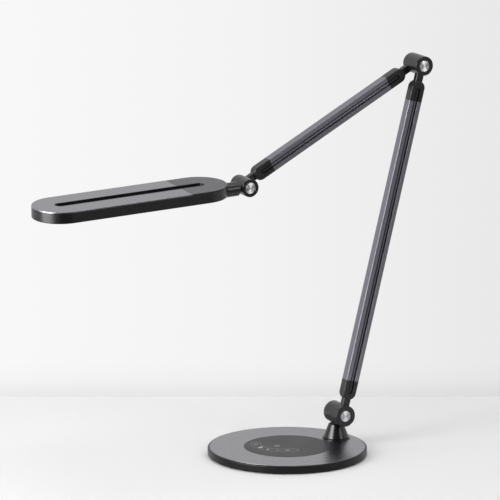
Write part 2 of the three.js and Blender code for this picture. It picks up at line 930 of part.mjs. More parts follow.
function headFrame() {
  const wall = headWall;
  const inside = headRadius - wall;
  const slotWall = slotRadius + wall;
  const seamWall = headSeam + wall / 2;
  const outer = extrude(
    stadium(headArcStart, headArcEnd, headRadius),
    headBottom,
    frameTop,
    headEdge,
  );
  const slot = extrude(
    stadium(slotArcStart, slotArcEnd, slotRadius),
    headBottom - overcut,
    headRise,
  );
  const lampRoom = extrude(
    slottedEnd(seamWall, headArcEnd, inside, slotArcEnd, slotWall),
    headBottom - overcut,
    lampCeiling,
  );
  const jointRoom = extrude(
    slottedEnd(headSeam - wall / 2, headArcStart, inside, slotArcStart, slotWall),
    headBottom + wall,
    frameTop + overcut,
  );
  const nutRoomEnd = swivelPinEnd + nutRoomMargin;
  const nutRoomHalf = swivelWasherRadius + seatGap;
  const nutRoom = solid(
    block(
      swivelSeatEnd,
      nutRoomEnd,
      -nutRoomHalf,
      nutRoomHalf,
      -nutRoomHalf,
      frameTop + overcut,
    ),
  );
  const shell = join(cut(solid(outer), solid(jointRoom)), headKeel());
  const pinHole = solid(
    outward(rod(swivelRadius + runningGap, headStart - overcut, nutRoomEnd, smallFacets)),
  );
  const boardHoles = ledScrewSpots.map(([x, y]) =>
    uprightRod(x, y, smallScrewRadius + seatGap / 2, lampCeiling - overcut, frameTop - webSkin),
  );
  const posts = endCoverScrewSpots.map(([x, y]) =>
    cut(
      uprightRod(x, y, coverBossRadius, headBottom + wall / 2, coverBossBottom),
      uprightRod(x, y, smallScrewRadius + seatGap, headBottom, coverBossBottom + overcut),
    ),
  );
  const sinks = endCoverScrewSpots.map(([x, y]) =>
    join(
      uprightRod(
        x,
        y,
        smallScrewRadius + seatGap,
        headBottom - overcut,
        headBottom + wall + overcut,
      ),
      uprightRod(
        x,
        y,
        smallScrewHead + seatGap,
        headBottom - overcut,
        headBottom + smallScrewHeadHeight,
      ),
    ),
  );
  return cut(
    join(shell, ...posts),
    ...sinks,
    solid(slot),
    solid(lampRoom),
    nutRoom,
    pinHole,
    ...boardHoles,
  );
}

function topPlate() {
  const outline = slottedEnd(
    headSeam + seamGap / 2,
    headArcEnd,
    headRadius - seatGap / 2,
    slotArcEnd,
    slotRadius + topPlateEdge,
  );
  return extrude(outline, headRise - topPlateThickness, headRise, topPlateEdge);
}

function endCover() {
  const outline = slottedEnd(
    headSeam - seamGap / 2,
    headArcStart,
    headRadius - seatGap / 2,
    slotArcStart,
    slotRadius + topPlateEdge,
  );
  const low = headRise - topPlateThickness;
  const bosses = endCoverScrewSpots.map(([x, y]) =>
    uprightRod(x, y, coverBossRadius, coverBossBottom + seatGap, low + topPlateThickness / 2),
  );
  const pilots = endCoverScrewSpots.map(([x, y]) =>
    uprightRod(
      x,
      y,
      smallScrewRadius + seatGap / 2,
      0,
      coverBossBottom + seatGap + smallScrewGrip,
    ),
  );
  const plate = solid(extrude(outline, low, headRise, topPlateEdge));
  return cut(join(plate, ...bosses), ...pilots);
}

function diffuser() {
  const outline = slottedEnd(
    headSeam + headWall / 2 + seatGap,
    headArcEnd,
    headRadius - headWall - seatGap,
    slotArcEnd,
    slotRadius + headWall + seatGap,
  );
  const low = headBottom + diffuserRecess;
  return extrude(outline, low, low + diffuserThickness);
}

function ledBoard(side) {
  const y = side * ledBoardY;
  const low = ledBoardTop - boardThickness;
  const half = ledBoardWidth / 2;
  const board = solid(
    block(ledBoardStart, ledBoardEnd, y - half, y + half, low, ledBoardTop),
  );
  const pitch = (ledBoardEnd - ledBoardStart - 2 * ledInset) / (ledCount - 1);
  const lamps = Array.from({ length: ledCount }, (_, i) => {
    const x = ledBoardStart + ledInset + pitch * i;
    const s = ledSize / 2;
    return solid(block(x - s, x + s, y - s, y + s, low - ledHeight, low + rootDepth));
  });
  const holes = ledScrewSpots.map(([x, screwY]) =>
    uprightRod(x, screwY, smallScrewRadius + seatGap, low - overcut, ledBoardTop + overcut),
  );
  return cut(join(board, ...lamps), ...holes);
}

// A pan head screw about Z with its head downward and its seat at z = 0.
function smallScrew(length) {
  return upright(
    turned(
      [
        [0, -smallScrewHeadHeight],
        [smallScrewHead - smallScrewEdge, -smallScrewHeadHeight],
        [smallScrewHead, -smallScrewHeadHeight + smallScrewEdge],
        [smallScrewHead, 0],
        [smallScrewRadius, 0],
        [smallScrewRadius, length],
        [0, length],
      ],
      smallFacets,
    ),
  );
}

function addHead(head) {
  add(head, "head_frame", headFrame(), looks.blackPlastic());
  add(head, "head_top_plate", topPlate(), looks.satinAluminium());
  add(head, "head_end_cover", endCover(), looks.greyPlastic());
  add(head, "head_diffuser", diffuser(), looks.opal());
  add(head, "led_board_front", ledBoard(1), looks.whiteBoard());
  add(head, "led_board_rear", ledBoard(-1), looks.whiteBoard());
  const boardScrewLength = boardThickness + 2 * seatGap + headWeb - 2 * webSkin;
  ledScrewSpots.forEach(([x, y], i) => {
    const name = `led_board_screw_${i + 1}`;
    const screw = add(head, name, smallScrew(boardScrewLength), looks.steel());
    screw.position.set(x, y, ledBoardTop - boardThickness - seatGap / 2);
  });
  const seat = headBottom + smallScrewHeadHeight - seatGap / 2;
  const coverScrewLength = coverBossBottom + smallScrewGrip - seat;
  endCoverScrewSpots.forEach(([x, y], i) => {
    const name = `end_cover_screw_${i + 1}`;
    const screw = add(head, name, smallScrew(coverScrewLength), looks.steel());
    screw.position.set(x, y, seat);
  });
}

// The pin is fixed in the stub, and its washer and nut turn with it inside the keel.
function addSwivel(stub) {
  const bore = swivelRadius + seatGap;
  const start = headStart - seatGap - swivelGrip;
  const washerHigh = swivelWasherLow + swivelWasher;
  const pieces = [
    ["head_swivel_pin", rod(swivelRadius, start, swivelPinEnd, smallFacets), looks.steel()],
    [
      "head_swivel_washer",
      tube(swivelWasherRadius, bore, swivelWasherLow, washerHigh, smallFacets),
      looks.nylon(),
    ],
    [
      "head_swivel_nut",
      tube(swivelNutRadius, bore, swivelNutLow, swivelPinEnd, smallFacets),
      looks.steel(),
    ],
  ];
  pieces.forEach(([name, shape, material]) => {
    add(stub, name, outward(shape), material).position.y = armOffset;
  });
}

// ---------------------------------------------------------------- assembly

const lamp = new THREE.Group();
addBase(lamp);
addPost(lamp);

const baseKnuckle = group(lamp, postX, 0, baseJointZ);
const lowerArm = group(baseKnuckle, 0, 0, 0, 0, lowerArmAngle);
addArm(
  lowerArm,
  "lower_arm",
  lowerArmLength,
  baseBarrelRadius,
  elbowBarrelRadius,
  -1,
  "base",
  "elbow",
);
jointHardware("base_joint", baseBarrelRadius, baseKnuckle, lowerArm, baseKnuckle);

const elbow = group(lowerArm, 0, 0, lowerArmLength);
const upperArm = group(elbow, 0, 0, 0, 0, -90 - upperArmAngle - lowerArmAngle);
addArm(
  upperArm,
  "upper_arm",
  upperArmLength,
  elbowBarrelRadius,
  headBarrelRadius,
  1,
  "elbow",
  "head",
);
jointHardware("elbow_joint", elbowBarrelRadius, elbow, elbow, upperArm);

// The stub's frame is turned half round, so the front of the lamp is at its +Y.
const headKnuckle = group(upperArm, 0, 0, upperArmLength);
const stub = group(headKnuckle, 0, 0, 0, 0, 90 + upperArmAngle - headAngle, 180);
add(stub, "head_stub", headStub(), looks.blackMetal());
jointHardware("head_joint", headBarrelRadius, headKnuckle, headKnuckle, headKnuckle);
addSwivel(stub);

const head = group(stub, 0, armOffset, 0, twistAngle);
addHead(head);

export default lamp;
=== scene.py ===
"""Swing arm desk lamp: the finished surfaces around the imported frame, laid out as an add-on."""

import json
import math

import bmesh
import bpy
from bpy.props import FloatProperty, FloatVectorProperty, IntProperty, PointerProperty
from mathutils import Matrix, Vector


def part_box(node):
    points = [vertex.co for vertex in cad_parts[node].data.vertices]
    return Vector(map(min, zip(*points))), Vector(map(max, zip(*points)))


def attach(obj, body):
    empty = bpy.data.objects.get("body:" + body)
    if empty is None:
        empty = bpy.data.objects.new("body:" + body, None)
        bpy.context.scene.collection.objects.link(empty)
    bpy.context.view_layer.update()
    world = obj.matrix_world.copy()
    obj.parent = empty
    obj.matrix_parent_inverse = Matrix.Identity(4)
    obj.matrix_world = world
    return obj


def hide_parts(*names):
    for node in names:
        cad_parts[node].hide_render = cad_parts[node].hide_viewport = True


bl_info = {
    "name": "Swing Arm Desk Lamp", "version": (1, 0, 0), "blender": (4, 5, 0),
    "location": "View3D > Sidebar > Desk Lamp",
    "description": "Dresses the packed desk lamp in its finished surfaces and sets its stage",
    "category": "Add Mesh"
}

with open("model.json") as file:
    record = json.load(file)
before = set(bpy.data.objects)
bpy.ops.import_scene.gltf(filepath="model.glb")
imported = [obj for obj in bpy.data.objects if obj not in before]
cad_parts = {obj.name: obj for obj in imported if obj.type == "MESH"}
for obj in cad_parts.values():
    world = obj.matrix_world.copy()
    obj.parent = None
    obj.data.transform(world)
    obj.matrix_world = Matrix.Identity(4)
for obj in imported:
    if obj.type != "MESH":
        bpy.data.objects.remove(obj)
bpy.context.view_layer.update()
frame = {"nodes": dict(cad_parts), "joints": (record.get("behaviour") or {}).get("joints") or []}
MM = 0.001


# ------------------------------------------------------------------ places, from the frame

PIVOT = {joint["name"]: Vector(joint["pos_m"]) for joint in frame["joints"]}


def facing(origin, along, side):
    """A frame whose first axis is along, its second side and its third their cross."""
    first, second = Vector(along).normalized(), Vector(side).normalized()
    turned = Matrix((first, second, first.cross(second))).transposed()
    return Matrix.Translation(origin) @ turned.to_4x4()


def arm_frame(start, end):
    """The frame of an arm: Z runs from knuckle to knuckle and Y along the knuckles."""
    along = (end - start).normalized()
    across = Vector((0, 1, 0)).cross(along)
    turned = Matrix((across, Vector((0, 1, 0)), along)).transposed()
    return Matrix.Translation(start) @ turned.to_4x4()


LOWER = arm_frame(PIVOT["base_tilt"], PIVOT["elbow"])
UPPER = arm_frame(PIVOT["elbow"], PIVOT["head_tilt"])
LOWER_LENGTH = (PIVOT["elbow"] - PIVOT["base_tilt"]).length
UPPER_LENGTH = (PIVOT["head_tilt"] - PIVOT["elbow"]).length
HEAD_AXIS = Vector(next(j["axis"] for j in frame["joints"] if j["name"] == "head_twist"))
STUB = facing(PIVOT["head_twist"], HEAD_AXIS, (0, -1, 0))
POST = PIVOT["post_swivel"]
Y_UP = Matrix.Rotation(math.radians(-90), 4, "X")  # Z becomes Y
X_UP = Matrix.Rotation(math.radians(90), 4, "Y")  # Z becomes X
FLIP = Matrix.Rotation(math.radians(180), 4, "X")
STAND = Matrix.Rotation(math.radians(90), 4, "X")  # Y becomes Z
BOLT = 3.3 * MM  # bore for the pin of the head
STEM = 5.3 * MM  # bore for the stem of the post, and half of the room of the nut in the head
BARREL_WALL = 0.8 * MM  # wall of a knuckle left under what starts outside its pocket
INK_SUNK, INK_PROUD = 0.02 * MM, 0.04 * MM  # printed marks, below and above the panel
VIEW_TURN = math.radians(-27)  # azimuth of the camera, and turn of the stage about Z
RIGHTWARD = (0.891, -0.454, 0)  # along the wall, to the camera's right
SIDES = {"From Min": -0.39, "From Max": 0.3}  # of the camera's view, in metres along the wall
FLOOR_FRONT, FLOOR_BACK, WALL_BACK = -0.36, 0.285, 1.2  # metres along the view
WALL_FOOT, WALL_HEAD, STAGE_WIDTH = -1, 4, 8.0
PAINTED_FOOT_SHADE = (-0.228, -0.178)  # heights on the wall between which the painted shade at its foot fades out


def linear(code):
    """An sRGB hex colour as linear RGBA."""
    channels = [int(code[i : i + 2], 16) / 255 for i in (1, 3, 5)]
    return [c / 12.92 if c <= 0.04045 else ((c + 0.055) / 1.055) ** 2.4 for c in channels] + [1]


# ------------------------------------------------------------------ settings

def size(name, millimetres, description):
    return FloatProperty(
        name=name, description=description, default=millimetres * MM, min=0, unit="LENGTH",
        precision=5
    )


def colour(name, code, description):
    return FloatVectorProperty(
        name=name, description=description, default=linear(code), size=4, subtype="COLOR", min=0,
        max=1
    )


class LampSizes(bpy.types.PropertyGroup):
    seat_gap: size("Seat gap", 0.3, "Clearance between a piece and what it sits in")
    rim_wall: size("Rim wall", 3, "Thickness of the black rim of the base")
    rim_lip: size("Rim lip", 2, "Black edge left showing round the aluminium plate")
    rim_round: size("Rim round", 1.4, "Rounding of the top of the rim")
    rim_chamfer: size("Rim chamfer", 1.2, "Chamfer under the rim")
    plate_edge: size("Plate edge", 0.3, "Rounding of the edge of the base plate")
    panel_radius: size("Panel radius", 51.4, "Radius of the touch panel")
    cover_screw: size("Cover screw", 1.5, "Radius of the screws of the bottom cover")
    stem_radius: size("Stem radius", 5, "Radius of the stem that the post turns on")
    inlet_nose: size("Inlet nose", 2.4, "Radius of the round nose of the power inlet")
    inlet_bore: size("Inlet bore", 1.75, "Radius of the bore of the power inlet")
    inlet_depth: size("Inlet depth", 8, "Depth of the bore of the power inlet")
    inlet_pin: size("Inlet pin", 0.6, "Radius of the pin of the power inlet")
    pin_recess: size("Pin recess", 1, "Tip of the pin inside the mouth of the power inlet")
    cone_foot: size("Cone foot", 15.2, "Radius of the post's cone at its foot")
    cone_top: size("Cone top", 8.8, "Radius of the post's cone at its top")
    cone_height: size("Cone height", 17, "Height of the post's cone")
    cone_lip: size("Cone lip", 0.6, "Upright edge at the foot of the cone")
    barrel_length: size("Barrel length", 32.6, "Length of a knuckle over both halves")
    barrel_round: size("Barrel round", 0.9, "Rounding of the end of a knuckle")
    barrel_gap: size("Barrel gap", 0.7, "Gap between the halves, for the friction washer")
    friction_washer: size("Friction washer", 0.6, "Thickness of the friction washer")
    base_barrel: size("Base knuckle", 12.9, "Radius of the knuckle at the base")
    elbow_barrel: size("Elbow", 11.6, "Radius of the elbow")
    head_barrel: size("Head knuckle", 10.7, "Radius of the knuckle at the head")
    bolt_bore: size("Bolt bore", 3.3, "Radius of the bore for the bolt")
    pocket_radius: size("Pocket radius", 6.9, "Radius of the pocket under a cap")
    pocket_depth: size("Pocket depth", 7.6, "Depth of the pocket under a cap")
    cap_thickness: size("Cap thickness", 1.8, "Thickness of a bright cap")
    cap_recess: size("Cap recess", 0.3, "Face of a cap below the end of the knuckle")
    arm_width: size("Arm width", 16.8, "Width of an arm in the plane that it swings in")
    arm_thickness: size("Arm thickness", 12, "Thickness of an arm along the knuckles")
    arm_edge: size("Arm edge", 0.9, "Rounding of the long edges of an arm")
    arm_wall: size("Arm wall", 1.3, "Wall of the extrusion")
    channel_width: size("Channel width", 5.6, "Width of the channel in an arm")
    channel_depth: size("Channel depth", 3.8, "Depth of the channel in an arm")
    channel_rib: size("Channel rib", 1.5, "Radius of the round top of the rib along the channel")
    rib_stand: size("Rib stand", 1.2, "Height of the straight sides of the rib")
    cap_reach: size("End cap reach", 43.2, "From the knuckle to the cut end of the extrusion")
    channel_run: size("Channel run-out", 16, "Length of the channel in an end cap")
    rib_start: size("Rib start", 1.4, "From the end of the channel to the end of its rib")
    neck_reach: size("Neck reach", 7.2, "Bare neck between a knuckle and its end cap")
    neck_width: size("Neck width", 9.4, "Width of the neck of an end cap")
    neck_thickness: size("Neck thickness", 7.8, "Thickness of the neck of an end cap")
    neck_edge: size("Neck edge", 1.4, "Rounding of the edges of the neck")
    spigot: size("Spigot", 12, "Length of the end cap inside the extrusion")
    stub_radius: size("Stub radius", 5.6, "Radius of the stub of the head")
    collar_radius: size("Collar radius", 8.5, "Radius of the swivel collar")
    collar_start: size("Collar start", 13.6, "From the head knuckle to the collar")
    head_start: size("Head start", 30.3, "From the head knuckle to the head")
    head_end: size("Head end", 275.1, "From the head knuckle to the far end of the head")
    head_seam: size("Head seam", 88.9, "From the head knuckle to the seam of the top")
    slot_start: size("Slot start", 57.7, "From the head knuckle to the slot")
    slot_end: size("Slot end", 247.9, "From the head knuckle to the far end of the slot")
    head_radius: size("Head radius", 35, "Half of the width of the head")
    slot_radius: size("Slot radius", 6.2, "Half of the width of the slot")
    head_rise: size("Head rise", 11.9, "Top of the head above the axis of the stub")
    head_depth: size("Head depth", 13.9, "Thickness of the head")
    head_wall: size("Head wall", 2, "Wall of the frame of the head")
    slot_lip: size("Slot lip", 1.6, "Lip of the frame between the covers and the sides of the slot")
    slot_tip: size("Slot tip", 1, "How much narrower the lip is at the ends of the slot")
    tail_inset: size("Tail inset", 0.45, "Shadow gap round the end cover of the head")
    head_edge: size("Head edge", 0.9, "Rounding of the lower edge of the head")
    top_plate: size("Top plate", 1.4, "Thickness of the covers on top of the head")
    top_edge: size("Top edge", 0.35, "Rounding of the covers on top of the head")
    seam_gap: size("Seam gap", 0.4, "Gap between the two covers of the head")
    diffuser: size("Diffuser", 2, "Thickness of the diffuser")
    diffuser_recess: size("Diffuser recess", 0.3, "Diffuser inside the lower edge of the head")
    keel_length: size("Keel length", 24, "Length of the fairing over the swivel pin")
    head_roll: FloatProperty(
        name="Head roll", description="Turn of the head about its stub", default=math.radians(-3.3),
        subtype="ANGLE"
    )
    round_steps: IntProperty(
        name="Round steps", description="Facets round a full circle", default=128, min=24, max=512
    )


class LampColours(bpy.types.PropertyGroup):
    aluminium: colour("Aluminium", "#85858a", "Brushed aluminium plates")
    anodised: colour("Anodised", "#7a7981", "Dark grey anodised arms")
    grey_plastic: colour("Grey plastic", "#4c4c50", "End cover of the head")
    panel: colour("Panel", "#2f2f31", "Touch panel")
    moulding: colour("Moulding", "#0f0f11", "Black moulded plastic")
    paint: colour("Paint", "#131315", "Black satin paint")
    spun: colour("Spun metal", "#eeeef1", "Bright spun caps")
    marks: colour("Marks", "#c9c9cc", "Printed marks of the touch panel")
    rubber: colour("Rubber", "#1c1c1d", "Pad under the base")
    opal: colour("Opal", "#f2f2ee", "Diffuser")
    floor: colour("Floor", "#f2f2f2", "Floor of the stage")


# ------------------------------------------------------------------ modelling helpers

def rounded(corners, steps=5):
    """A closed outline through corners (x, y, radius), with each radius as an arc."""
    points = []
    for i, (x, y, radius) in enumerate(corners):
        here = Vector((x, y))
        if radius <= 0:
            points.append(here)
            continue
        before = (Vector(corners[i - 1][:2]) - here).normalized()
        after = (Vector(corners[(i + 1) % len(corners)][:2]) - here).normalized()
        half = before.angle(after) / 2
        centre = here + (before + after).normalized() * radius / math.sin(half)
        start = here + before * radius / math.tan(half) - centre
        sweep = math.copysign(math.pi - 2 * half, after.cross(before))
        for k in range(steps + 1):
            points.append(centre + Matrix.Rotation(sweep * k / steps, 2) @ start)
    return points


def wire(bm, points, closed=True):
    """Vertices and edges through (x, y, z) points."""
    verts = [bm.verts.new(point) for point in points]
    ends = verts[1:] + verts[:1] if closed else verts[1:]
    return verts, [bm.edges.new(pair) for pair in zip(verts, ends)]


def steps():
    return bpy.context.scene.lamp_sizes.round_steps


def spun(profile, around=None, closed=True):
    """A profile of (radius, height) points spun about Z."""
    bm = bmesh.new()
    verts, edges = wire(bm, [(r, 0, h) for r, h in profile], closed)
    bmesh.ops.spin(
        bm, geom=verts + edges, axis=(0, 0, 1), cent=(0, 0, 0), angle=2 * math.pi,
        steps=around or steps(), use_merge=True
    )
    bmesh.ops.remove_doubles(bm, verts=bm.verts, dist=1e-7)
    bmesh.ops.recalc_face_normals(bm, faces=bm.faces)
    return bm


def disc(profile, around=None):
    """A solid turning: its profile starts and ends on the axis."""
    return spun(profile, around, closed=False)


def rod(radius, low, high, around=32):
    return disc([(0, low), (radius, low), (radius, high), (0, high)], around)


def slab(outline, low, high):
    """A flat piece cut to an outline in X and Y, from one height to another."""
    bm = bmesh.new()
    verts, _ = wire(bm, [(x, y, low) for x, y in outline])
    face = bm.faces.new(verts)
    raise_faces(bm, [face], high - low)
    return bm


def raise_faces(bm, faces, height):
    grown = bmesh.ops.extrude_face_region(bm, geom=faces)["geom"]
    moved = [item for item in grown if isinstance(item, bmesh.types.BMVert)]
    bmesh.ops.translate(bm, vec=(0, 0, height), verts=moved)
    bmesh.ops.recalc_face_normals(bm, faces=bm.faces)


def block(x0, x1, y0, y1, z0, z1):
    return slab([(x0, y0), (x1, y0), (x1, y1), (x0, y1)], z0, z1)


def stadium(start, end, radius):
    """A long outline with round ends, whose centres lie on X."""
    count = steps() // 2
    points = []
    for centre, turn in ((end, -90), (start, 90)):
        for k in range(count + 1):
            angle = math.radians(turn + 180 * k / count)
            points.append((centre + radius * math.cos(angle), radius * math.sin(angle)))
    return points


def track(outer, inner, low, high, cut=None):
    """A slotted stadium from one height to another, or the part of it on one side of a cut."""
    bm = bmesh.new()
    loops = [wire(bm, [(x, y, low) for x, y in stadium(*ends)])[1] for ends in (outer, inner)]
    faces = bmesh.ops.bridge_loops(bm, edges=loops[0] + loops[1])["faces"]
    raise_faces(bm, faces, high - low)
    if cut:
        place, side = cut
        everything = bm.verts[:] + bm.edges[:] + bm.faces[:]
        bmesh.ops.bisect_plane(
            bm, geom=everything, plane_co=(place, 0, 0), plane_no=(side, 0, 0), clear_inner=True
        )
        bmesh.ops.edgeloop_fill(bm, edges=[e for e in bm.edges if e.is_boundary])
        bmesh.ops.recalc_face_normals(bm, faces=bm.faces)
    return bm


def soften(bm, radius, where=lambda edge: True, segments=3, angle=30):
    """Rounds the sharp edges that pass a test."""
    limit = math.radians(angle)
    edges = [
        e for e in bm.edges if len(e.link_faces) == 2 and e.calc_face_angle() > limit and where(e)
    ]
    bmesh.ops.bevel(
        bm, geom=edges, offset=radius, offset_type="OFFSET", segments=segments, profile=0.5,
        affect="EDGES", material=-1, clamp_overlap=True
    )
    return bm


def level(height):
    """Tests that an edge lies at one height."""
    return lambda edge: all(abs(v.co.z - height) < 1e-6 for v in edge.verts)


def put(bm, *matrices):
    """Moves a bmesh by matrices, the last one first."""
    for matrix in reversed(matrices):
        bmesh.ops.transform(bm, matrix=matrix, verts=bm.verts)
    return bm


def at(x, y, z):
    return Matrix.Translation((x, y, z))


def combined(first, *others, operation="UNION", weld=True):
    """Closed bmeshes joined to the first or cut from it. All of them are used up.

    Without the weld, the sliver faces of a joint stay for the next cut to deal with.
    """
    for other in others:
        blanks = []
        for bm in (first, other):
            mesh = bpy.data.meshes.new("blank")
            bm.to_mesh(mesh)
            bm.free()
            blank = bpy.data.objects.new("blank", mesh)
            bpy.context.scene.collection.objects.link(blank)
            blanks.append(blank)
        boolean = blanks[0].modifiers.new("Boolean", "BOOLEAN")
        boolean.operation = operation
        boolean.solver = "EXACT"
        boolean.object = blanks[1]
        first = bmesh.new()
        first.from_object(blanks[0], bpy.context.evaluated_depsgraph_get())
        for blank in blanks:
            mesh = blank.data
            bpy.data.objects.remove(blank)
            bpy.data.meshes.remove(mesh)
    if weld:
        bmesh.ops.remove_doubles(first, verts=first.verts, dist=1e-7)
    return first


def without(first, *others):
    return combined(first, *others, operation="DIFFERENCE")


def joined(*meshes):
    """Separate closed bmeshes as one piece."""
    whole = bmesh.new()
    for bm in meshes:
        mesh = bpy.data.meshes.new("part")
        bm.to_mesh(mesh)
        bm.free()
        whole.from_mesh(mesh)
        bpy.data.meshes.remove(mesh)
    return whole


def finish_piece(name, bm, finish, body, nodes, weighted=True):
    """Makes a bmesh a piece that rides on its body and stands for its nodes."""
    mesh = bpy.data.meshes.new(name)
    bm.to_mesh(mesh)
    bm.free()
    mesh.polygons.foreach_set("use_smooth", [True] * len(mesh.polygons))
    mesh.set_sharp_from_angle(angle=math.radians(30))
    mesh.materials.append(finish_named(finish))
    piece = bpy.data.objects.new(name, mesh)
    bpy.context.scene.collection.objects.link(piece)
    if weighted:
        normals = piece.modifiers.new("Weighted Normal", "WEIGHTED_NORMAL")
        normals.keep_sharp = True
    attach(piece, body)
    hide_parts(*nodes)
    return piece


# ------------------------------------------------------------------ finishes

def add_node(tree, kind, inputs=None, **settings):
    """Adds a node with its settings, and sets or links its inputs."""
    made = tree.nodes.new(f"ShaderNode{kind}")
    for key, value in settings.items():
        setattr(made, key, value)
    for key, value in (inputs or {}).items():
        if isinstance(value, bpy.types.NodeSocket):
            tree.links.new(value, made.inputs[key])
        else:
            made.inputs[key].default_value = value
    return made


def shader(name, **inputs):
    """A new material, its node tree and its shader, with plain socket values."""
    made = bpy.data.materials.get(name)
    if made:
        bpy.data.materials.remove(made)
    made = bpy.data.materials.new(name)
    made.use_nodes = True
    principled = made.node_tree.nodes["Principled BSDF"]
    for key, value in inputs.items():
        principled.inputs[key.replace("_", " ")].default_value = value
    return made, made.node_tree, principled


def grain(tree, size, detail=2.0, turn=0.0):
    """Noise in the piece's own metres. Size is one cycle along each axis, turned about Y."""
    place = add_node(tree, "TexCoord").outputs["Object"]
    # A texture mapping turns first and scales after, so long grain stays straight when turned.
    mapped = add_node(
        tree, "Mapping", {"Vector": place, "Rotation": (0, turn, 0), "Scale": size},
        vector_type="TEXTURE"
    )
    noise = add_node(
        tree, "TexNoise", {"Vector": mapped.outputs["Vector"], "Scale": 1.0, "Detail": detail}
    )
    return noise.outputs["Fac"]


def spread(tree, value, low, high):
    """Maps noise, which mostly lies from 0.3 to 0.7, to a range."""
    made = add_node(
        tree, "MapRange",
        {"Value": value, "From Min": 0.3, "From Max": 0.7, "To Min": low, "To Max": high}
    )
    return made.outputs["Result"]


def scaled(tree, principled, tone, factor):
    """Makes the colour a tone times a factor."""
    mixed = add_node(tree, "VectorMath", {0: tone[:3], 3: factor}, operation="SCALE")
    tree.links.new(mixed.outputs["Vector"], principled.inputs["Base Color"])


def tinted(tree, principled, value, tone, amount):
    """Lightens and darkens the colour by a share of itself."""
    scaled(tree, principled, tone, spread(tree, value, 1 - amount, 1 + amount))


def worked(tree, operation, *values):
    """The result of a sum on values and sockets."""
    return add_node(tree, "Math", dict(enumerate(values)), operation=operation).outputs["Value"]


def bumped(tree, principled, value, height):
    """Surface relief of a height in metres."""
    bump = add_node(tree, "Bump", {"Height": value, "Distance": height, "Strength": 1.0})
    tree.links.new(bump.outputs["Normal"], principled.inputs["Normal"])


def surface(name, tone, clouds, shine=None, relief=None, **inputs):
    """A material of one tone with even noise in it.

    Clouds are (cycle, detail, share of the tone), shine the roughness at both ends of them, and
    relief (cycle, detail, height). A relief without a cycle follows the clouds.
    """
    made, tree, principled = shader(name, **inputs)
    cloud = grain(tree, (clouds[0],) * 3, clouds[1])
    tinted(tree, principled, cloud, tone, clouds[2])
    if shine:
        tree.links.new(spread(tree, cloud, *shine), principled.inputs["Roughness"])
    if relief:
        fine = grain(tree, (relief[0],) * 3, relief[1]) if relief[0] else cloud
        bumped(tree, principled, fine, relief[2])
    return made


def brushed_aluminium(name, tone):
    """Anodised aluminium sheet brushed in straight lines: fine streaks with a soft shine."""
    made, tree, principled = shader(name, Metallic=1.0, Roughness=0.28, Anisotropic=0.5)
    # The lines run along X, so the shine is drawn out across them, along Y.
    across = add_node(
        tree, "VectorTransform", {"Vector": (0, 1, 0)}, vector_type="VECTOR", convert_from="OBJECT",
        convert_to="WORLD"
    )
    tree.links.new(across.outputs["Vector"], principled.inputs["Tangent"])
    # The abrasive leaves lines about 0.1 mm apart; here they are 0.6 mm apart and 30 mm long.
    lines = grain(tree, (0.030, 0.0006, 0.0006), detail=3)
    tinted(tree, principled, lines, tone, 0.07)
    tree.links.new(spread(tree, lines, 0.24, 0.32), principled.inputs["Roughness"])
    bumped(tree, principled, lines, 0.000006)
    return made


def anodised_extrusion(name, tone, turn):
    """Dark grey anodised aluminium extrusion: satin, with faint die lines along its length."""
    made, tree, principled = shader(name, Metallic=0.9, Roughness=0.36)
    # Die lines are a fraction of a millimetre apart and run the whole length.
    lines = grain(tree, (0.0009, 0.0009, 0.12), detail=2, turn=turn)
    tinted(tree, principled, lines, tone, 0.06)
    tree.links.new(spread(tree, lines, 0.31, 0.41), principled.inputs["Roughness"])
    bumped(tree, principled, lines, 0.000004)
    return made


def moulded_plastic(name, tone, roughness=0.3, relief=0.000006, gloss=0.45):
    """Injection moulded ABS from a spark-eroded tool: a fine even grain and a satin shine."""
    # Spark erosion leaves pits about 0.1 mm across; 0.35 mm is what still shows.
    shine, pits = (roughness - 0.03, roughness + 0.04), (0.00035, 2, relief)
    inputs = {"Roughness": roughness, "Specular_IOR_Level": gloss}
    return surface(name, tone, (0.012, 3, 0.05), shine, pits, **inputs)


def satin_paint(name, tone):
    """Black satin powder coat on a metal casting: a slight orange peel under a smooth film."""
    peel, film = (0.0012, 1, 0.06), {"Roughness": 0.24, "Specular_IOR_Level": 0.42}
    return surface(name, tone, peel, (0.22, 0.27), (0, 0, 0.000006), **film)


def touch_plastic(name, tone):
    """Hard-coated acrylic of the touch panel: even dark grey, with a soft wide shine."""
    cloud, coat = (0.02, 4, 0.03), {"Roughness": 0.45, "Specular_IOR_Level": 0.25}
    return surface(name, tone, cloud, (0.42, 0.48), (0.0004, 2, 0.000006), **coat)


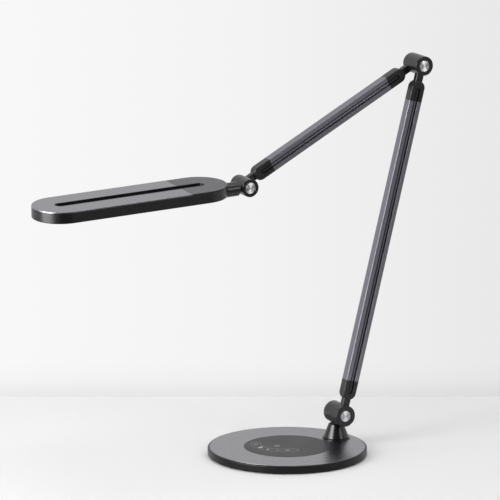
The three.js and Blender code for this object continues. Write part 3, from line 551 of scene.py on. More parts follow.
def spun_metal(name, tone):
    """Lathe-faced aluminium: circular turning lines that draw the light out to a bow tie, with a
    painted bow-tie highlight added to its colour.
    """
    made, tree, principled = shader(
        name, Metallic=1.0, Roughness=0.52, Anisotropic=0.94, Anisotropic_Rotation=0.25
    )
    around = add_node(tree, "Tangent", direction_type="RADIAL", axis="Y")
    tree.links.new(around.outputs["Tangent"], principled.inputs["Tangent"])
    # Painted highlight: the colour is lighter above and below the middle of a cap, in two fans with
    # soft edges.
    place = add_node(tree, "TexCoord").outputs["Generated"]
    centred = add_node(tree, "VectorMath", {0: place, 1: (0.5, 0.5, 0.5)}, operation="SUBTRACT")
    axes = add_node(tree, "SeparateXYZ", {"Vector": centred.outputs["Vector"]}).outputs
    double = worked(tree, "MULTIPLY", worked(tree, "ARCTAN2", axes["X"], axes["Z"]), 2.0)
    wave = worked(tree, "COSINE", double)
    painted_fans = add_node(
        tree, "MapRange", {"Value": wave, "From Min": -1.0, "To Min": 0.62, "To Max": 1.15},
        interpolation_type="SMOOTHSTEP"
    )
    # Turning lines are about 0.1 mm apart; here they are 0.5 mm apart, so that they show.
    away = add_node(tree, "VectorMath", {0: centred.outputs["Vector"]}, operation="LENGTH")
    lines = add_node(
        tree, "TexNoise", {"W": away.outputs["Value"], "Scale": 26.0, "Detail": 2.0},
        noise_dimensions="1D"
    )
    turned = spread(tree, lines.outputs["Fac"], 0.92, 1.08)
    # The colour is the turning lines times the painted highlight of the fans.
    shade = worked(tree, "MULTIPLY", painted_fans.outputs["Result"], turned)
    scaled(tree, principled, tone, shade)
    return made


def plain_metal(name, tone, roughness, metallic=1.0):
    """Bright or dull metal of a fastener or weight, faintly mottled by its plating or skin."""
    shine, skin = (roughness - 0.08, roughness + 0.1), {
        "Metallic": metallic, "Roughness": roughness
    }
    return surface(name, tone, (0.0015, 4, 0.12), shine, (0, 0, 0.00002), **skin)


def pad_rubber(name, tone):
    """EVA foam rubber: matt and faintly pebbled."""
    pebble, matt = (0.0009, 3, 0.12), {"Roughness": 0.85, "Specular_IOR_Level": 0.3}
    return surface(name, tone, pebble, None, (0, 0, 0.00006), **matt)


def opal_acrylic(name, tone):
    """Opal acrylic: milky white that lets light in a little way, with a satin face."""
    milk = {"Roughness": 0.4, "Subsurface_Weight": 0.4, "Subsurface_Scale": 0.002, "IOR": 1.49}
    return surface(name, tone, (0.003, 3, 0.015), None, (0.0005, 2, 0.000008), **milk)


def board_lacquer(name, tone):
    """Solder resist on a circuit board: glossy, and the weave of the glass cloth shows faintly."""
    return surface(name, tone, (0.0008, 1, 0.08), None, (0, 0, 0.00001), Roughness=0.3)


def printed_ink(name, tone):
    """Screen-printed ink: matt, thin and slightly uneven."""
    return surface(name, tone, (0.0006, 2, 0.08), Roughness=0.6)


def finish_named(name):
    """The material of a name, made when it is first needed."""
    made = bpy.data.materials.get(name)
    if made:
        return made
    tones = bpy.context.scene.lamp_colours
    lean = math.atan2(LOWER[0][2], LOWER[2][2])
    slope = math.atan2(UPPER[0][2], UPPER[2][2])
    makers = {
        "brushed_aluminium": lambda: brushed_aluminium(name, tones.aluminium),
        "lower_extrusion": lambda: anodised_extrusion(name, tones.anodised, lean),
        "upper_extrusion": lambda: anodised_extrusion(name, tones.anodised, slope),
        "grey_satin_abs": lambda: moulded_plastic(name, tones.grey_plastic, 0.42),
        "black_abs": lambda: moulded_plastic(name, tones.moulding),
        "satin_black_abs": lambda: moulded_plastic(name, tones.moulding, 0.32, 0.00001, 0.2),
        "black_glass_nylon": lambda: moulded_plastic(name, linear("#1c1c1e"), 0.3, 0.00001, 0.4),
        "satin_black_paint": lambda: satin_paint(name, tones.paint),
        "touch_acrylic": lambda: touch_plastic(name, tones.panel),
        "turned_aluminium": lambda: spun_metal(name, tones.spun),
        "zinc_plated_steel": lambda: plain_metal(name, linear("#a3a5a8"), 0.35),
        "grey_cast_iron": lambda: plain_metal(name, linear("#4d4d4f"), 0.7, 0.6),
        "eva_rubber": lambda: pad_rubber(name, tones.rubber),
        "opal_acrylic": lambda: opal_acrylic(name, tones.opal),
        "green_solder_resist": lambda: board_lacquer(name, linear("#1f4d33")),
        "white_solder_resist": lambda: board_lacquer(name, linear("#e8e8e6")),
        "black_nylon": lambda: moulded_plastic(name, linear("#222224"), 0.5),
        "printed_ink": lambda: printed_ink(name, tones.marks)
    }
    return makers[name]()


def dress(node, name):
    """Gives a CAD node its finish."""
    frame["nodes"][node].material_slots[0].material = finish_named(name)


# ------------------------------------------------------------------ base

class LAMP_OT_base(bpy.types.Operator):
    """Adds the rubber pad, the black rim, the brushed plate and the touch panel"""

    bl_idname = "lamp.base"
    bl_label = "Base"

    def execute(self, context):
        s = context.scene.lamp_sizes
        self.pad()
        self.shell(s)
        self.plate(s)
        self.panel()
        self.inlet(s)
        for node in ("base_bottom_cover", *(f"cover_screw_{i}" for i in range(1, 5))):
            dress(node, "zinc_plated_steel")
        dress("base_weight", "grey_cast_iron")
        dress("touch_board", "green_solder_resist")
        return {"FINISHED"}

    def pad(self):
        low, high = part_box("base_rubber_pad")
        edge = 0.3 * MM
        profile = rounded(
            [(0, low.z, 0), (high.x, low.z, edge), (high.x, high.z, edge), (0, high.z, 0)]
        )
        finish_piece("foot_pad", disc(profile), "eva_rubber", "base", ["base_rubber_pad"])

    def shell(self, s):
        low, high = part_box("base_housing")
        radius = high.x
        inner = radius - s.rim_wall
        lip = radius - s.rim_lip
        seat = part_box("base_top_plate")[0].z - s.seat_gap
        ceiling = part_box("touch_board")[1].z - 1.2 * MM
        opening = s.panel_radius - 4 * MM
        profile = rounded(
            [
                (inner, low.z, 0), (radius - s.rim_chamfer, low.z, 0.2 * MM),
                (radius, low.z + s.rim_chamfer, 0.5 * MM), (radius, high.z, s.rim_round),
                (lip, high.z, 0.2 * MM), (lip, seat, 0), (opening, seat, 0), (opening, ceiling, 0),
                (inner, ceiling, 0)
            ]
        )
        screws = [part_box(f"cover_screw_{i}") for i in range(1, 5)]
        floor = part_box("base_bottom_cover")[1].z + s.seat_gap
        bosses, holes = [], [self.stem_hole(s)]
        for screw_low, screw_high in screws:
            place = at(*((screw_low + screw_high) / 2).xy, 0)
            bosses.append(put(rod(s.cover_screw + 2 * MM, floor, ceiling + 0.3 * MM), place))
            holes.append(put(rod(s.cover_screw + s.seat_gap, 0, screw_high.z + s.seat_gap), place))
        inlet_low, inlet_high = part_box("power_inlet")
        nose = at(0, 0, (inlet_low.z + inlet_high.z) / 2) @ X_UP
        holes.append(put(rod(s.inlet_nose + s.seat_gap, inner - MM, radius + MM), nose))
        shell = without(combined(spun(profile, 192), *bosses), *holes)
        finish_piece(
            "rim_and_deck", shell, "satin_black_abs", "base", ["base_housing"]
        )

    def stem_hole(self, s):
        """What is cut away for the stem that the post turns on."""
        return put(rod(s.stem_radius + s.seat_gap, 0, 20 * MM, 64), at(POST.x, POST.y, 0))

    def plate(self, s):
        low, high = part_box("base_top_plate")
        inner = s.panel_radius + s.seat_gap
        profile = rounded(
            [
                (inner, low.z, 0), (high.x, low.z, 0), (high.x, high.z, s.plate_edge),
                (inner, high.z, s.plate_edge / 2)
            ]
        )
        finish_piece(
            "deck_plate", without(spun(profile, 192), self.stem_hole(s)), "brushed_aluminium",
            "base", ["base_top_plate"]
        )

    def panel(self):
        low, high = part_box("touch_panel")
        profile = rounded(
            [(0, low.z, 0), (high.x, low.z, 0), (high.x, high.z, 0.25 * MM), (0, high.z, 0)]
        )
        marks = self.marks(high.z)
        for mark in marks:
            for face in mark.faces:
                face.material_index = 1
        control = finish_piece(
            "control_disc", joined(disc(profile, 160), *marks), "touch_acrylic", "base",
            ["touch_panel"]
        )
        control.data.materials.append(finish_named("printed_ink"))

    def marks(self, top):
        """The printed signs: a curved slider with round signs along it, and an on-off sign."""
        line, bold, place = 0.22 * MM, 0.6 * MM, at(-10.9 * MM, 5.7 * MM, 0)
        middle, inner, outer, start, end = (0, 12 * MM), 26.5 * MM, 37.5 * MM, 150, 268
        along, half = (inner + outer) / 2, (outer - inner) / 2

        def on_slider(angle):
            turn = math.radians(angle)
            return middle[0] + along * math.cos(turn), middle[1] + along * math.sin(turn)

        arcs = [
            (middle, inner, line, start, end), (middle, outer, line, start, end),
            (on_slider(start), half, line, start - 180, start),
            (on_slider(end), half, line, end, end + 180), (on_slider(158), 2.1 * MM, bold, 0, 360),
            (on_slider(187), 1.2 * MM, 2.4 * MM, 0, 360), (on_slider(187), 3.2 * MM, line, 0, 360),
            (on_slider(209), 0.8 * MM, 1.6 * MM, 0, 360), (on_slider(232), 1.5 * MM, line, 0, 360),
            (on_slider(253), 2.0 * MM, bold, 0, 360),
            (place.translation.xy, 2.7 * MM, bold, 120, 420)
        ]
        signs = [self.arc(*arc, top) for arc in arcs]
        bar = block(-bold / 2, bold / 2, 0.6 * MM, 3.4 * MM, top - INK_SUNK, top + INK_PROUD)
        signs.append(put(bar, place))
        return signs

    def arc(self, centre, radius, width, start, end, top):
        """A thin raised arc of ink, or a dot if its width is twice its radius."""
        low, high = max(radius - width / 2, 0), radius + width / 2
        steps_round = max(8, round((end - start) / 8))
        turns = [
            math.radians(start + (end - start) * k / steps_round) for k in range(steps_round + 1)
        ]
        under, over = top - INK_SUNK, top + INK_PROUD
        profile = [(low, under), (high, under), (high, over), (low, over)]
        if end - start == 360:
            ink = spun(profile, 48, closed=True) if low > 0 else disc(profile, 48)
        else:
            outline = [(high * math.cos(t), high * math.sin(t)) for t in turns]
            outline += [(low * math.cos(t), low * math.sin(t)) for t in reversed(turns)]
            ink = slab(outline, under, over)
        return put(ink, at(*centre, 0))

    def inlet(self, s):
        """The power inlet: its moulded body behind the rim, its round nose and its bright pin."""
        low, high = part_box("power_inlet")
        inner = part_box("base_housing")[1].x - s.rim_wall - s.seat_gap
        height, front, half = (low.z + high.z) / 2, high.x, s.inlet_nose - 0.2 * MM
        back = front - s.inlet_depth
        turned = at(0, 0, height) @ X_UP
        body = block(low.x, inner, low.y, high.y, height - half, height + half)
        nose = put(rod(s.inlet_nose, inner - 0.3 * MM, front, 64), turned)
        bore = put(
            disc(
                rounded(
                    [
                        (0, back, 0), (s.inlet_bore, back, 0), (s.inlet_bore, front - 0.3 * MM, 0),
                        (s.inlet_bore + 0.35 * MM, front + 0.05 * MM, 0), (0, front + 0.05 * MM, 0)
                    ]
                ), 64
            ), turned
        )
        tip = front - s.pin_recess
        pin = disc(
            rounded(
                [
                    (0, back - 0.3 * MM, 0), (s.inlet_pin, back - 0.3 * MM, 0),
                    (s.inlet_pin, tip, 0.35 * MM), (0, tip, 0)
                ]
            ), 32
        )
        whole = combined(without(combined(body, nose), bore), put(pin, turned))
        for face in whole.faces:
            reach = max(math.hypot(v.co.y, v.co.z - height) for v in face.verts)
            face.material_index = 1 if reach < s.inlet_pin * 1.02 else 0
        piece = finish_piece(
            "dc_inlet", whole, "black_abs", "base", ["power_inlet"]
        )
        piece.data.materials.append(finish_named("zinc_plated_steel"))


# ------------------------------------------------------------------ knuckles

def half_barrel(radius, side):
    """Half of a knuckle about Y, with its bore and the pocket under its cap."""
    s = bpy.context.scene.lamp_sizes
    inner = s.barrel_gap / 2
    outer = s.barrel_length / 2
    floor = outer - s.pocket_depth
    profile = rounded(
        [
            (s.bolt_bore, inner, 0), (radius, inner, 0.06 * MM), (radius, outer, s.barrel_round),
            (s.pocket_radius, outer, 0.4 * MM), (s.pocket_radius, floor, 0), (s.bolt_bore, floor, 0)
        ]
    )
    barrel = put(spun(profile), Y_UP)
    return barrel if side > 0 else put(barrel, FLIP)


def bright_cap(name, body, centre, side, node):
    """The bright cap in a pocket."""
    s = bpy.context.scene.lamp_sizes
    face = s.barrel_length / 2 - s.cap_recess
    radius = s.pocket_radius - s.seat_gap
    profile = rounded(
        [
            (0, face - s.cap_thickness, 0), (radius, face - s.cap_thickness, 0),
            (radius, face, 0.35 * MM), (0, face, 0)
        ]
    )
    cap = put(disc(profile, 96), Y_UP)
    if side < 0:
        put(cap, FLIP)
    put(cap, Matrix.Translation(centre))
    finish_piece(name, cap, "turned_aluminium", body, [node], weighted=False)


class LAMP_OT_knuckles(bpy.types.Operator):
    """Adds the bright caps and finishes the bolts, nuts and washers of the knuckles"""

    bl_idname = "lamp.knuckles"
    bl_label = "Knuckles"

    def execute(self, context):
        bodies = {
            "base": ("base_tilt", "lower_arm", "post"),
            "elbow": ("elbow", "lower_arm", "upper_arm"),
            "head": ("head_tilt", "head_knuckle", "upper_arm")
        }
        for knuckle, (joint, front, rear) in bodies.items():
            where = PIVOT[joint]
            bright_cap(f"{knuckle}_cap_front", front, where, -1, f"{knuckle}_joint_front_cap")
            bright_cap(f"{knuckle}_cap_rear", rear, where, 1, f"{knuckle}_joint_rear_cap")
            for part in ("bolt", "spring_washer", "nut"):
                dress(f"{knuckle}_joint_{part}", "zinc_plated_steel")
            self.washer(context.scene.lamp_sizes, knuckle, rear, where)
        return {"FINISHED"}

    def washer(self, s, knuckle, body, where):
        """The black disc between the halves of a knuckle, flush with them but for a hairline."""
        half = s.friction_washer / 2
        radius = getattr(s, f"{knuckle}_barrel") - 0.06 * MM
        ring = rounded(
            [(s.bolt_bore, -half, 0), (radius, -half, 0), (radius, half, 0), (s.bolt_bore, half, 0)]
        )
        finish_piece(
            f"{knuckle}_friction_disc", put(spun(ring), Matrix.Translation(where), Y_UP),
            "black_nylon", body, [f"{knuckle}_joint_friction_washer"]
        )


# ------------------------------------------------------------------ post

class LAMP_OT_post(bpy.types.Operator):
    """Adds the foot ring and the conical post with its half of the base knuckle"""

    bl_idname = "lamp.post"
    bl_label = "Post"

    def execute(self, context):
        s = context.scene.lamp_sizes
        low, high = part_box("post_foot_ring")
        centre = (low + high) / 2
        radius = (high.x - low.x) / 2
        ring = spun(
            rounded(
                [
                    (STEM, low.z, 0), (radius, low.z, 0.15 * MM), (radius, high.z, 0.6 * MM),
                    (STEM, high.z, 0)
                ]
            )
        )
        put(ring, at(centre.x, centre.y, 0))
        finish_piece(
            "foot_flange", ring, "satin_black_paint", "base", ["post_foot_ring"]
        )
        self.turret(s, high.z + s.seat_gap)
        for part in ("stem", "washer", "nut"):
            dress(f"post_swivel_{part}", "zinc_plated_steel")
        return {"FINISHED"}

    def turret(self, s, bottom):
        knuckle = PIVOT["base_tilt"]
        top = bottom + s.cone_height
        cone = disc(
            rounded(
                [
                    (0, bottom, 0), (s.cone_foot, bottom, 0.2 * MM),
                    (s.cone_foot, bottom + s.cone_lip, 0.3 * MM), (s.cone_top, top, 1.6 * MM),
                    (0, top, 0)
                ]
            )
        )
        put(cone, at(POST.x, POST.y, 0))
        neck = neck_block(top - 2 * MM, knuckle.z - s.pocket_radius - BARREL_WALL)
        put(neck, at(POST.x, POST.y, 0))
        barrel = put(half_barrel(s.base_barrel, 1), Matrix.Translation(knuckle))
        stem = put(rod(STEM, bottom - MM, bottom + 8.8 * MM), at(POST.x, POST.y, 0))
        turret = without(combined(cone, neck, barrel), stem)
        finish_piece("turret", turret, "satin_black_paint", "post", ["post_turret"])


def neck_block(low, high):
    """The flat neck between a knuckle and what it carries, along Z."""
    s = bpy.context.scene.lamp_sizes
    w, h, r = s.neck_width / 2, s.neck_thickness / 2, s.neck_edge
    return slab(rounded([(w, -h, r), (w, h, r), (-w, h, r), (-w, -h, r)]), low, high)


# ------------------------------------------------------------------ arms

def end_fitting(radius, side):
    """A moulded end cap with its knuckle half at the origin and the arm along Z."""
    s = bpy.context.scene.lamp_sizes
    offset = side * s.barrel_length / 4
    half, thick = s.arm_width / 2, s.arm_thickness / 2
    start = s.pocket_radius + BARREL_WALL
    shoulder = radius + s.neck_reach + half
    outline = [(half, s.cap_reach), (-half, s.cap_reach)] + [
        (-half * math.cos(math.radians(a)), shoulder - half * math.sin(math.radians(a)))
        for a in range(0, 181, 5)
    ]
    body = slab(outline, -thick, thick)
    end = s.cap_reach
    soften(body, s.arm_edge, lambda e: e.calc_length() > 0 and not on_line(e, end), 4)
    put(body, at(0, offset, 0), STAND)
    channels = []
    c = s.channel_width / 2
    run = end - s.channel_run + c
    path = [(c, end + MM), (-c, end + MM)] + [
        (-c * math.cos(math.radians(a)), run - c * math.sin(math.radians(a)))
        for a in range(0, 181, 10)
    ]
    for face in (-1, 1):
        near, far = thick - s.channel_depth, thick + MM
        low, high = sorted((face * near, face * far))
        groove = put(slab(path, low, high), at(0, offset, 0), STAND)
        rib = put(rib_end(s), at(0, offset - face * near, 0))
        channels.append(without(groove, rib))
    near = c + s.arm_wall + s.seat_gap
    far = half - s.arm_wall - s.seat_gap
    tall = thick - s.arm_wall - s.seat_gap
    spigots = []
    for x0, x1 in ((near, far), (-far, -near)):
        spigots.append(block(x0, x1, offset - tall, offset + tall, end - 0.3 * MM, end + s.spigot))
    neck = put(neck_block(start, shoulder), at(0, offset, 0))
    whole = combined(half_barrel(radius, side), neck, body)
    return combined(without(whole, *channels), *spigots)


def rib_end(s):
    """The rib in the channel of an end cap, along Z, with its round end."""
    r = s.channel_rib
    low, high = s.cap_reach - s.channel_run + s.rib_start, s.cap_reach + 2 * MM
    outline = rounded([(-r, low, r * 0.999), (r, low, r * 0.999), (r, high, 0), (-r, high, 0)], 8)
    bar = slab(outline, -s.rib_stand - r, s.rib_stand + r)
    soften(
        bar, r * 0.8,
        lambda e: abs(e.verts[0].co.z - e.verts[1].co.z) < 1e-6 and not on_line(e, high), 5
    )
    return put(bar, STAND)


def on_line(edge, height):
    """Tests that an edge of a flat piece lies on the line where it meets its neighbour."""
    return all(abs(v.co.y - height) < 1e-6 for v in edge.verts)


def extrusion(length, side):
    """The aluminium arm along Z, with its channels and chambers."""
    s = bpy.context.scene.lamp_sizes
    w, h, c = s.arm_width / 2, s.arm_thickness / 2, s.channel_width / 2
    floor = h - s.channel_depth
    edge, lip = s.arm_edge, 0.25 * MM
    corner = [(w, h, edge), (c, h, lip), (c, floor, lip)]
    r, crest = s.channel_rib, floor + s.rib_stand
    rib = [(r, floor, 0), (-r, floor, 0)]
    rib[1:1] = [
        (r * math.cos(math.radians(a)), crest + r * math.sin(math.radians(a)), 0)
        for a in range(0, 181, 12)
    ]
    section = (
        corner + rib + [(-x, y, r) for x, y, r in reversed(corner)]
        + [(-x, -y, r) for x, y, r in corner] + [(-x, -y, r) for x, y, r in rib]
        + [(x, -y, r) for x, y, r in reversed(corner)]
    )
    low, high = s.cap_reach + 0.08 * MM, length - s.cap_reach - 0.08 * MM
    arm = slab(rounded(section, 4), low, high)
    near, far, tall = c + s.arm_wall, w - s.arm_wall, h - s.arm_wall
    for x0, x1 in ((near, far), (-far, -near)):
        arm = without(arm, block(x0, x1, -tall, tall, low - MM, high + MM))
    return put(arm, at(0, side * s.barrel_length / 4, 0))


class LAMP_OT_arms(bpy.types.Operator):
    """Adds both arms: their extrusions and their moulded end caps"""

    bl_idname = "lamp.arms"
    bl_label = "Arms"

    def execute(self, context):
        s = context.scene.lamp_sizes
        self.arm(
            "lower", LOWER, LOWER_LENGTH, -1, ("base", s.base_barrel), ("elbow", s.elbow_barrel)
        )
        self.arm(
            "upper", UPPER, UPPER_LENGTH, 1, ("elbow", s.elbow_barrel), ("head", s.head_barrel)
        )
        return {"FINISHED"}

    def arm(self, name, place, length, side, start, end):
        body = f"{name}_arm"
        turned = at(0, 0, length) @ Matrix.Rotation(math.pi, 4, "Y")
        for (knuckle, radius), where in ((start, place), (end, place @ turned)):
            finish_piece(
                f"{name}_end_cap_{knuckle}", put(end_fitting(radius, side), where),
                "black_glass_nylon", body, [f"{name}_arm_{knuckle}_fitting"]
            )
        finish_piece(
            f"{name}_profile", put(extrusion(length, side), place), f"{name}_extrusion", body,
            [f"{name}_arm_extrusion"]
        )


# ------------------------------------------------------------------ head

class LAMP_OT_head(bpy.types.Operator):
    """Adds the stub, the slotted frame, its two covers and the diffuser"""

    bl_idname = "lamp.head"
    bl_label = "Head"

    def execute(self, context):
        s = context.scene.lamp_sizes
        self.place = STUB @ Matrix.Rotation(s.head_roll, 4, "X")
        self.outer = (s.head_start + s.head_radius, s.head_end - s.head_radius)
        self.slot = (s.slot_start + s.slot_radius, s.slot_end - s.slot_radius)
        self.stub(s)
        self.frame(s)
        self.covers(s)
        self.glow(s)
        for part in ("pin", "nut"):
            dress(f"head_swivel_{part}", "zinc_plated_steel")
        dress("head_swivel_washer", "black_nylon")
        for board in ("front", "rear"):
            dress(f"led_board_{board}", "white_solder_resist")
        for i in range(1, 5):
            dress(f"led_board_screw_{i}", "zinc_plated_steel")
        for i in (1, 2):
            dress(f"end_cover_screw_{i}", "zinc_plated_steel")
        return {"FINISHED"}

    def stub(self, s):
        end = s.head_start - s.seat_gap
        start = s.pocket_radius + BARREL_WALL
        profile = rounded(
            [
                (0, start, 0), (s.stub_radius, start, 0), (s.stub_radius, s.collar_start, 0.3 * MM),
                (s.collar_radius, s.collar_start, 0.6 * MM), (s.collar_radius, end, 0.15 * MM),
                (0, end, 0)
            ]
        )
        collar = put(disc(profile), X_UP)
        barrel = put(half_barrel(s.head_barrel, 1), at(0, -s.barrel_length / 4, 0))
        pin = put(rod(BOLT, end - 9.3 * MM, end + MM), X_UP)
        whole = without(combined(barrel, collar), pin)
        finish_piece(
            "head_neck", put(whole, STUB), "satin_black_paint", "head_knuckle",
            ["head_stub"]
        )

    def ring(self, s, inset, low, high, cut=None):
        outer = (*self.outer, s.head_radius - inset)
        inner = (*self.slot, s.slot_radius + inset)
        return track(outer, inner, low, high, cut)

    def opening(self, s, gap=0):
        """The outline of the lip round the slot, which the covers leave open."""
        radius = s.slot_radius + s.slot_lip + gap
        return self.slot[0] + s.slot_tip, self.slot[1] - s.slot_tip, radius

    def frame(self, s):
        bottom = s.head_rise - s.head_depth
        top = s.head_rise - s.top_plate - s.seat_gap
        shell = soften(self.ring(s, 0, bottom, top), s.head_edge, level(bottom), 4)
        soften(shell, 0.4 * MM, level(top), 3)
        wall = s.head_wall
        ceiling = top - 2 * MM
        lamp_room = self.ring(s, wall, bottom - MM, ceiling, (s.head_seam + wall / 2, 1))
        joint_room = self.ring(s, wall, bottom + wall, top + MM, (s.head_seam - wall / 2, -1))
        end = s.head_start + s.keel_length
        r = s.collar_radius
        keel = put(
            disc(
                rounded(
                    [
                        (0, s.head_start, 0), (r, s.head_start, 0.3 * MM), (r, end, r * 0.999),
                        (0, end, 0)
                    ], 12
                )
            ), X_UP
        )
        # Its face touches the end of the head, and a weld there would open the mesh.
        shell = combined(without(shell, joint_room), keel, weld=False)
        seat = s.head_start + 10 * MM
        nut_room = block(seat, seat + 6.1 * MM, -STEM, STEM, -STEM, top + MM)
        pin = put(rod(BOLT, s.head_start - MM, seat + MM), X_UP)
        shell = without(shell, lamp_room, nut_room, pin)
        crest = s.head_rise - 0.05 * MM
        # The lip stands 0.02 mm inside the slot, so that their walls don't lie in one another.
        lip = track(self.opening(s), (*self.slot, s.slot_radius - 0.02 * MM), top - MM, crest)
        shell = combined(shell, soften(lip, 0.15 * MM, level(crest), 2))
        finish_piece(
            "head_body", put(shell, self.place), "black_abs", "head",
            ["head_frame"]
        )

    def covers(self, s):
        low = s.head_rise - s.top_plate
        for name, node, side, inset, finish, slot in (
            (
                "head_skin", "head_top_plate", 1, s.seat_gap / 2, "brushed_aluminium",
                "satin_aluminium"
            ), ("head_tail", "head_end_cover", -1, s.tail_inset, "grey_satin_abs", "grey_plastic")
        ):
            cut = (s.head_seam + side * s.seam_gap / 2, side)
            outer = (*self.outer, s.head_radius - inset)
            cover = track(outer, self.opening(s, 0.05 * MM), low, s.head_rise, cut)
            soften(cover, s.top_edge, level(s.head_rise), 3)
            # Painted shade: the sides of the end cover are black, standing in for the shade under
            # its edge, while its top keeps the grey.
            for face in cover.faces:
                face.material_index = 0 if side > 0 or face.normal.z > 0.3 else 1
            piece = finish_piece(name, put(cover, self.place), finish, "head", [node])
            piece.data.materials.append(finish_named("black_abs"))

    def glow(self, s):
        low = s.head_rise - s.head_depth + s.diffuser_recess
        cut = (s.head_seam + s.head_wall / 2 + s.seat_gap, 1)
        sheet = self.ring(s, s.head_wall + s.seat_gap, low, low + s.diffuser, cut)
        soften(sheet, 0.3 * MM, level(low), 2)
        finish_piece(
            "diffuser", put(sheet, self.place), "opal_acrylic", "head", ["head_diffuser"]
        )


# ------------------------------------------------------------------ stage

class LAMP_OT_stage(bpy.types.Operator):
    """Adds the floor and backdrop, the lights, the world and the camera"""

    bl_idname = "lamp.stage"
    bl_label = "Stage"

    def execute(self, context):
        scene = context.scene
        scene.view_settings.view_transform = "Standard"
        self.camera(scene)
        self.world(scene)
        self.lights()
        self.room()
        return {"FINISHED"}

    def camera(self, scene):
        azimuth, elevation = VIEW_TURN, math.radians(12.32)
        back = Vector(
            (
                math.sin(azimuth) * math.cos(elevation), -math.cos(azimuth) * math.cos(elevation),
                math.sin(elevation)
            )
        )
        target = Vector((-0.0170, 0.0646, 0.2386))
        data = bpy.data.cameras.new("camera")
        data.lens = 360
        data.sensor_width = 36
        camera = bpy.data.objects.new("camera", data)
        camera.location = target + back * 5.958
        camera.rotation_mode = "QUATERNION"
        camera.rotation_quaternion = (-back).to_track_quat("-Z", "Y")
        scene.collection.objects.link(camera)
        scene.camera = camera

    def world(self, scene):
        """A white room whose front, behind the camera, is dim where surfaces mirror it."""
        world = bpy.data.worlds.new("studio")
        world.use_nodes = True
        tree = world.node_tree
        background = tree.nodes["Background"]
        background.inputs["Color"].default_value = (1, 1, 1, 1)
        ray = add_node(tree, "LightPath").outputs
        direction = add_node(tree, "TexCoord").outputs["Generated"]
        forward = add_node(
            tree, "VectorMath", {0: direction, 1: (-0.64, -0.77, 0)}, operation="DOT_PRODUCT"
        )
        share = add_node(tree, "MapRange", {"Value": forward.outputs["Value"], "From Min": -1.0})
        room = add_node(tree, "ValToRGB", {"Fac": share.outputs["Result"]})
        ramp = room.color_ramp
        ramp.elements[0].position, ramp.elements[1].position = 0.35, 0.97
        ramp.elements[0].color, ramp.elements[1].color = (1, 1, 1, 1), (0.05, 0.05, 0.05, 1)
        for place, level_there in ((0.69, 0.36), (0.84, 0.1)):
            ramp.elements.new(place).color = (level_there,) * 3 + (1,)
        mirrored = add_node(
            tree, "MapRange",
            {"Value": ray["Is Glossy Ray"], "To Min": 0.38, "To Max": room.outputs["Color"]}
        )
        clear = worked(tree, "MAXIMUM", ray["Is Camera Ray"], ray["Is Transmission Ray"])
        strength = add_node(
            tree, "MapRange", {"Value": clear, "To Min": mirrored.outputs["Result"], "To Max": 1.0}
        )
        tree.links.new(strength.outputs["Result"], background.inputs["Strength"])
        scene.world = world

    def lights(self):
        """Softboxes above, left and right, and cards on the left that only shiny surfaces show."""
        for name, place, aim, radiance, wide, tall in (
            ("overhead_softbox", (0, -0.2, 2.0), (0, 0, 0), 1.7, 1.5, 1.5),
            ("left_softbox", (-1.7, -0.35, 0.75), (0, 0, 0.3), 5.0, 0.8, 1.5),
            ("right_softbox", (0.82, -1.6, 1.0), (0, 0, 0.3), 3.4, 0.6, 0.8),
            ("low_left_card", (-1.15, -0.14, 0.19), (-0.3, 0, 0.25), 9, 0.7, 0.4),
            ("near_left_card", (-1.15, -0.67, 0.3), (-0.1, 0, 0.1), 1.7, 0.36, 0.6),
            ("high_left_card", (-1.3, -0.1, 0.85), (0.07, 0, 0.05), 12, 1.2, 0.5)
        ):
            data = bpy.data.lights.new(name, "AREA")
            data.shape = "RECTANGLE"
            data.size, data.size_y = wide, tall
            data.energy = radiance * math.pi * wide * tall
            light = bpy.data.objects.new(name, data)
            light.location = place
            light.rotation_mode = "QUATERNION"
            light.rotation_quaternion = (Vector(aim) - Vector(place)).to_track_quat("-Z", "Y")
            light.visible_camera = False
            light.visible_diffuse = "card" not in name
            bpy.context.scene.collection.objects.link(light)

    def room(self):
        """A floor and a wall, square to the camera, that show only from their front.

        The wall stands clear of the arms' reach and goes on below the floor, so the floor's back
        edge is the line that the camera sees between them.
        """
        left = -STAGE_WIDTH / 2
        for name, line, finish in (
            ("floor", [(left, FLOOR_FRONT, 0), (left, FLOOR_BACK, 0)], self.paint()),
            ("backdrop", [(left, WALL_BACK, WALL_FOOT), (left, WALL_BACK, WALL_HEAD)], self.paper())
        ):
            bm = bmesh.new()
            edges = wire(bm, line, closed=False)[1]
            grown = bmesh.ops.extrude_edge_only(bm, edges=edges)["geom"]
            moved = [v for v in grown if isinstance(v, bmesh.types.BMVert)]
            bmesh.ops.translate(bm, vec=(STAGE_WIDTH, 0, 0), verts=moved)
            for face in bm.faces:
                if face.normal.dot(Vector((0, 0, 1)) - face.calc_center_median()) < 0:
                    face.normal_flip()
            put(bm, Matrix.Rotation(VIEW_TURN, 4, "Z"))
            mesh = bpy.data.meshes.new(name)
            bm.to_mesh(mesh)
            bm.free()
            sheet = bpy.data.objects.new(name, mesh)
            bpy.context.scene.collection.objects.link(sheet)
            mesh.materials.append(finish)

    def from_front(self, tree, front):
        """Lets the camera see through the back of a sheet."""
        back = add_node(tree, "NewGeometry").outputs["Backfacing"]
        seen = add_node(tree, "LightPath").outputs["Is Camera Ray"]
        behind = worked(tree, "MULTIPLY", back, seen)
        clear = add_node(tree, "BsdfTransparent")
        mixed = add_node(tree, "MixShader", {0: behind, 1: front, 2: clear.outputs["BSDF"]})
        tree.links.new(mixed.outputs["Shader"], tree.nodes["Material Output"].inputs["Surface"])

    def places(self, tree):
        """How far a point lies to the right along the wall, and how high."""
        place = add_node(tree, "TexCoord").outputs["Object"]
        along = add_node(tree, "VectorMath", {0: place, 1: RIGHTWARD}, operation="DOT_PRODUCT")
        height = add_node(tree, "SeparateXYZ", {"Vector": place})
        return along.outputs["Value"], height.outputs["Z"]

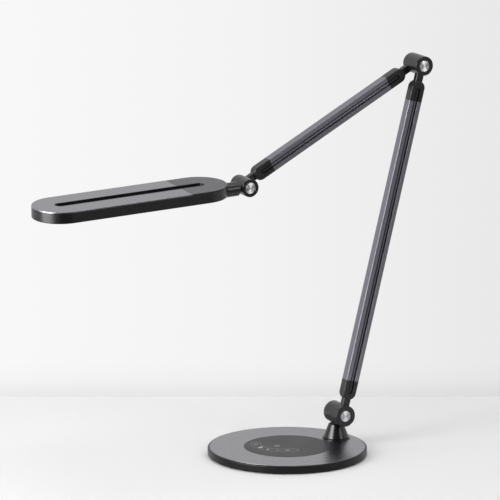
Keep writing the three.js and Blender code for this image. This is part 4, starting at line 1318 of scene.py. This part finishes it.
    def paint(self):
        """Matt white paint on the floor, with painted shade: a little darker to the right, as if
        lit from the left.
        """
        made, tree, principled = shader("matt_white_paint", Roughness=0.9, Specular_IOR_Level=0.1)
        # Painted shade: the floor's colour falls off to the right, standing in for light from the
        # left.
        share = add_node(
            tree, "MapRange",
            {"Value": self.places(tree)[0], "To Min": 1.1, "To Max": 1.03, **SIDES}
        )
        tone = bpy.context.scene.lamp_colours.floor
        scaled(tree, principled, tone, share.outputs["Result"])
        self.from_front(tree, principled.outputs["BSDF"])
        return made

    def paper(self):
        """Pale backdrop paper, evenly lit, with painted shade: a little darker to the right, as if
        lit from the left, and darker along its foot, as if shaded in the corner.
        """
        made, tree, principled = shader("backdrop_paper", Roughness=0.9, Specular_IOR_Level=0.1)
        along, height = self.places(tree)
        painted_shades = []
        foot = {"From Min": PAINTED_FOOT_SHADE[0], "From Max": PAINTED_FOOT_SHADE[1]}
        # Painted shade: one ramp darkens the paper to the right and one darkens it along its foot.
        for value, span, stops in (
            (along, SIDES, ((0, 0.939), (0.5, 0.896), (1, 0.815))),
            (height, foot, ((0, 0.88), (0.12, 0.89), (0.48, 0.965), (1, 1)))
        ):
            share = add_node(tree, "MapRange", {"Value": value, **span})
            shade = add_node(tree, "ValToRGB", {"Fac": share.outputs["Result"]})
            ramp = shade.color_ramp
            ramp.elements.remove(ramp.elements[1])
            for position, level_there in stops[1:]:
                ramp.elements.new(position).color = (level_there,) * 3 + (1,)
            ramp.elements[0].color = (stops[0][1],) * 3 + (1,)
            painted_shades.append(shade.outputs["Color"])
        tone = add_node(
            tree, "VectorMath", {0: painted_shades[0], 1: painted_shades[1]}, operation="MULTIPLY"
        ).outputs["Vector"]
        tree.links.new(tone, principled.inputs["Base Color"])
        glow = add_node(tree, "Emission", {"Color": tone})
        ray = add_node(tree, "LightPath").outputs
        seen = ray["Is Camera Ray"]
        for kind in ("Is Glossy Ray", "Is Transmission Ray"):
            seen = worked(tree, "MAXIMUM", seen, ray[kind])
        mixed = add_node(
            tree, "MixShader", {0: seen, 1: principled.outputs["BSDF"], 2: glow.outputs["Emission"]}
        )
        self.from_front(tree, mixed.outputs["Shader"])
        return made


# ------------------------------------------------------------------ panel and registration

class LAMP_PT_panel(bpy.types.Panel):
    bl_label = "Desk Lamp"
    bl_idname = "LAMP_PT_panel"
    bl_space_type = "VIEW_3D"
    bl_region_type = "UI"
    bl_category = "Desk Lamp"

    def draw(self, context):
        for operator in OPERATORS:
            self.layout.operator(operator.bl_idname)
        for group in (context.scene.lamp_sizes, context.scene.lamp_colours):
            for name in group.__annotations__:
                self.layout.prop(group, name)


OPERATORS = (
    LAMP_OT_stage, LAMP_OT_base, LAMP_OT_post, LAMP_OT_knuckles, LAMP_OT_arms, LAMP_OT_head
)
CLASSES = (LampSizes, LampColours, *OPERATORS, LAMP_PT_panel)


def register():
    for cls in CLASSES:
        bpy.utils.register_class(cls)
    bpy.types.Scene.lamp_sizes = PointerProperty(type=LampSizes)
    bpy.types.Scene.lamp_colours = PointerProperty(type=LampColours)


def unregister():
    del bpy.types.Scene.lamp_colours
    del bpy.types.Scene.lamp_sizes
    for cls in reversed(CLASSES):
        bpy.utils.unregister_class(cls)


def main():
    register()
    for operator in OPERATORS:
        getattr(bpy.ops.lamp, operator.bl_idname.split(".")[1])()


if __name__ == "__main__":
    main()
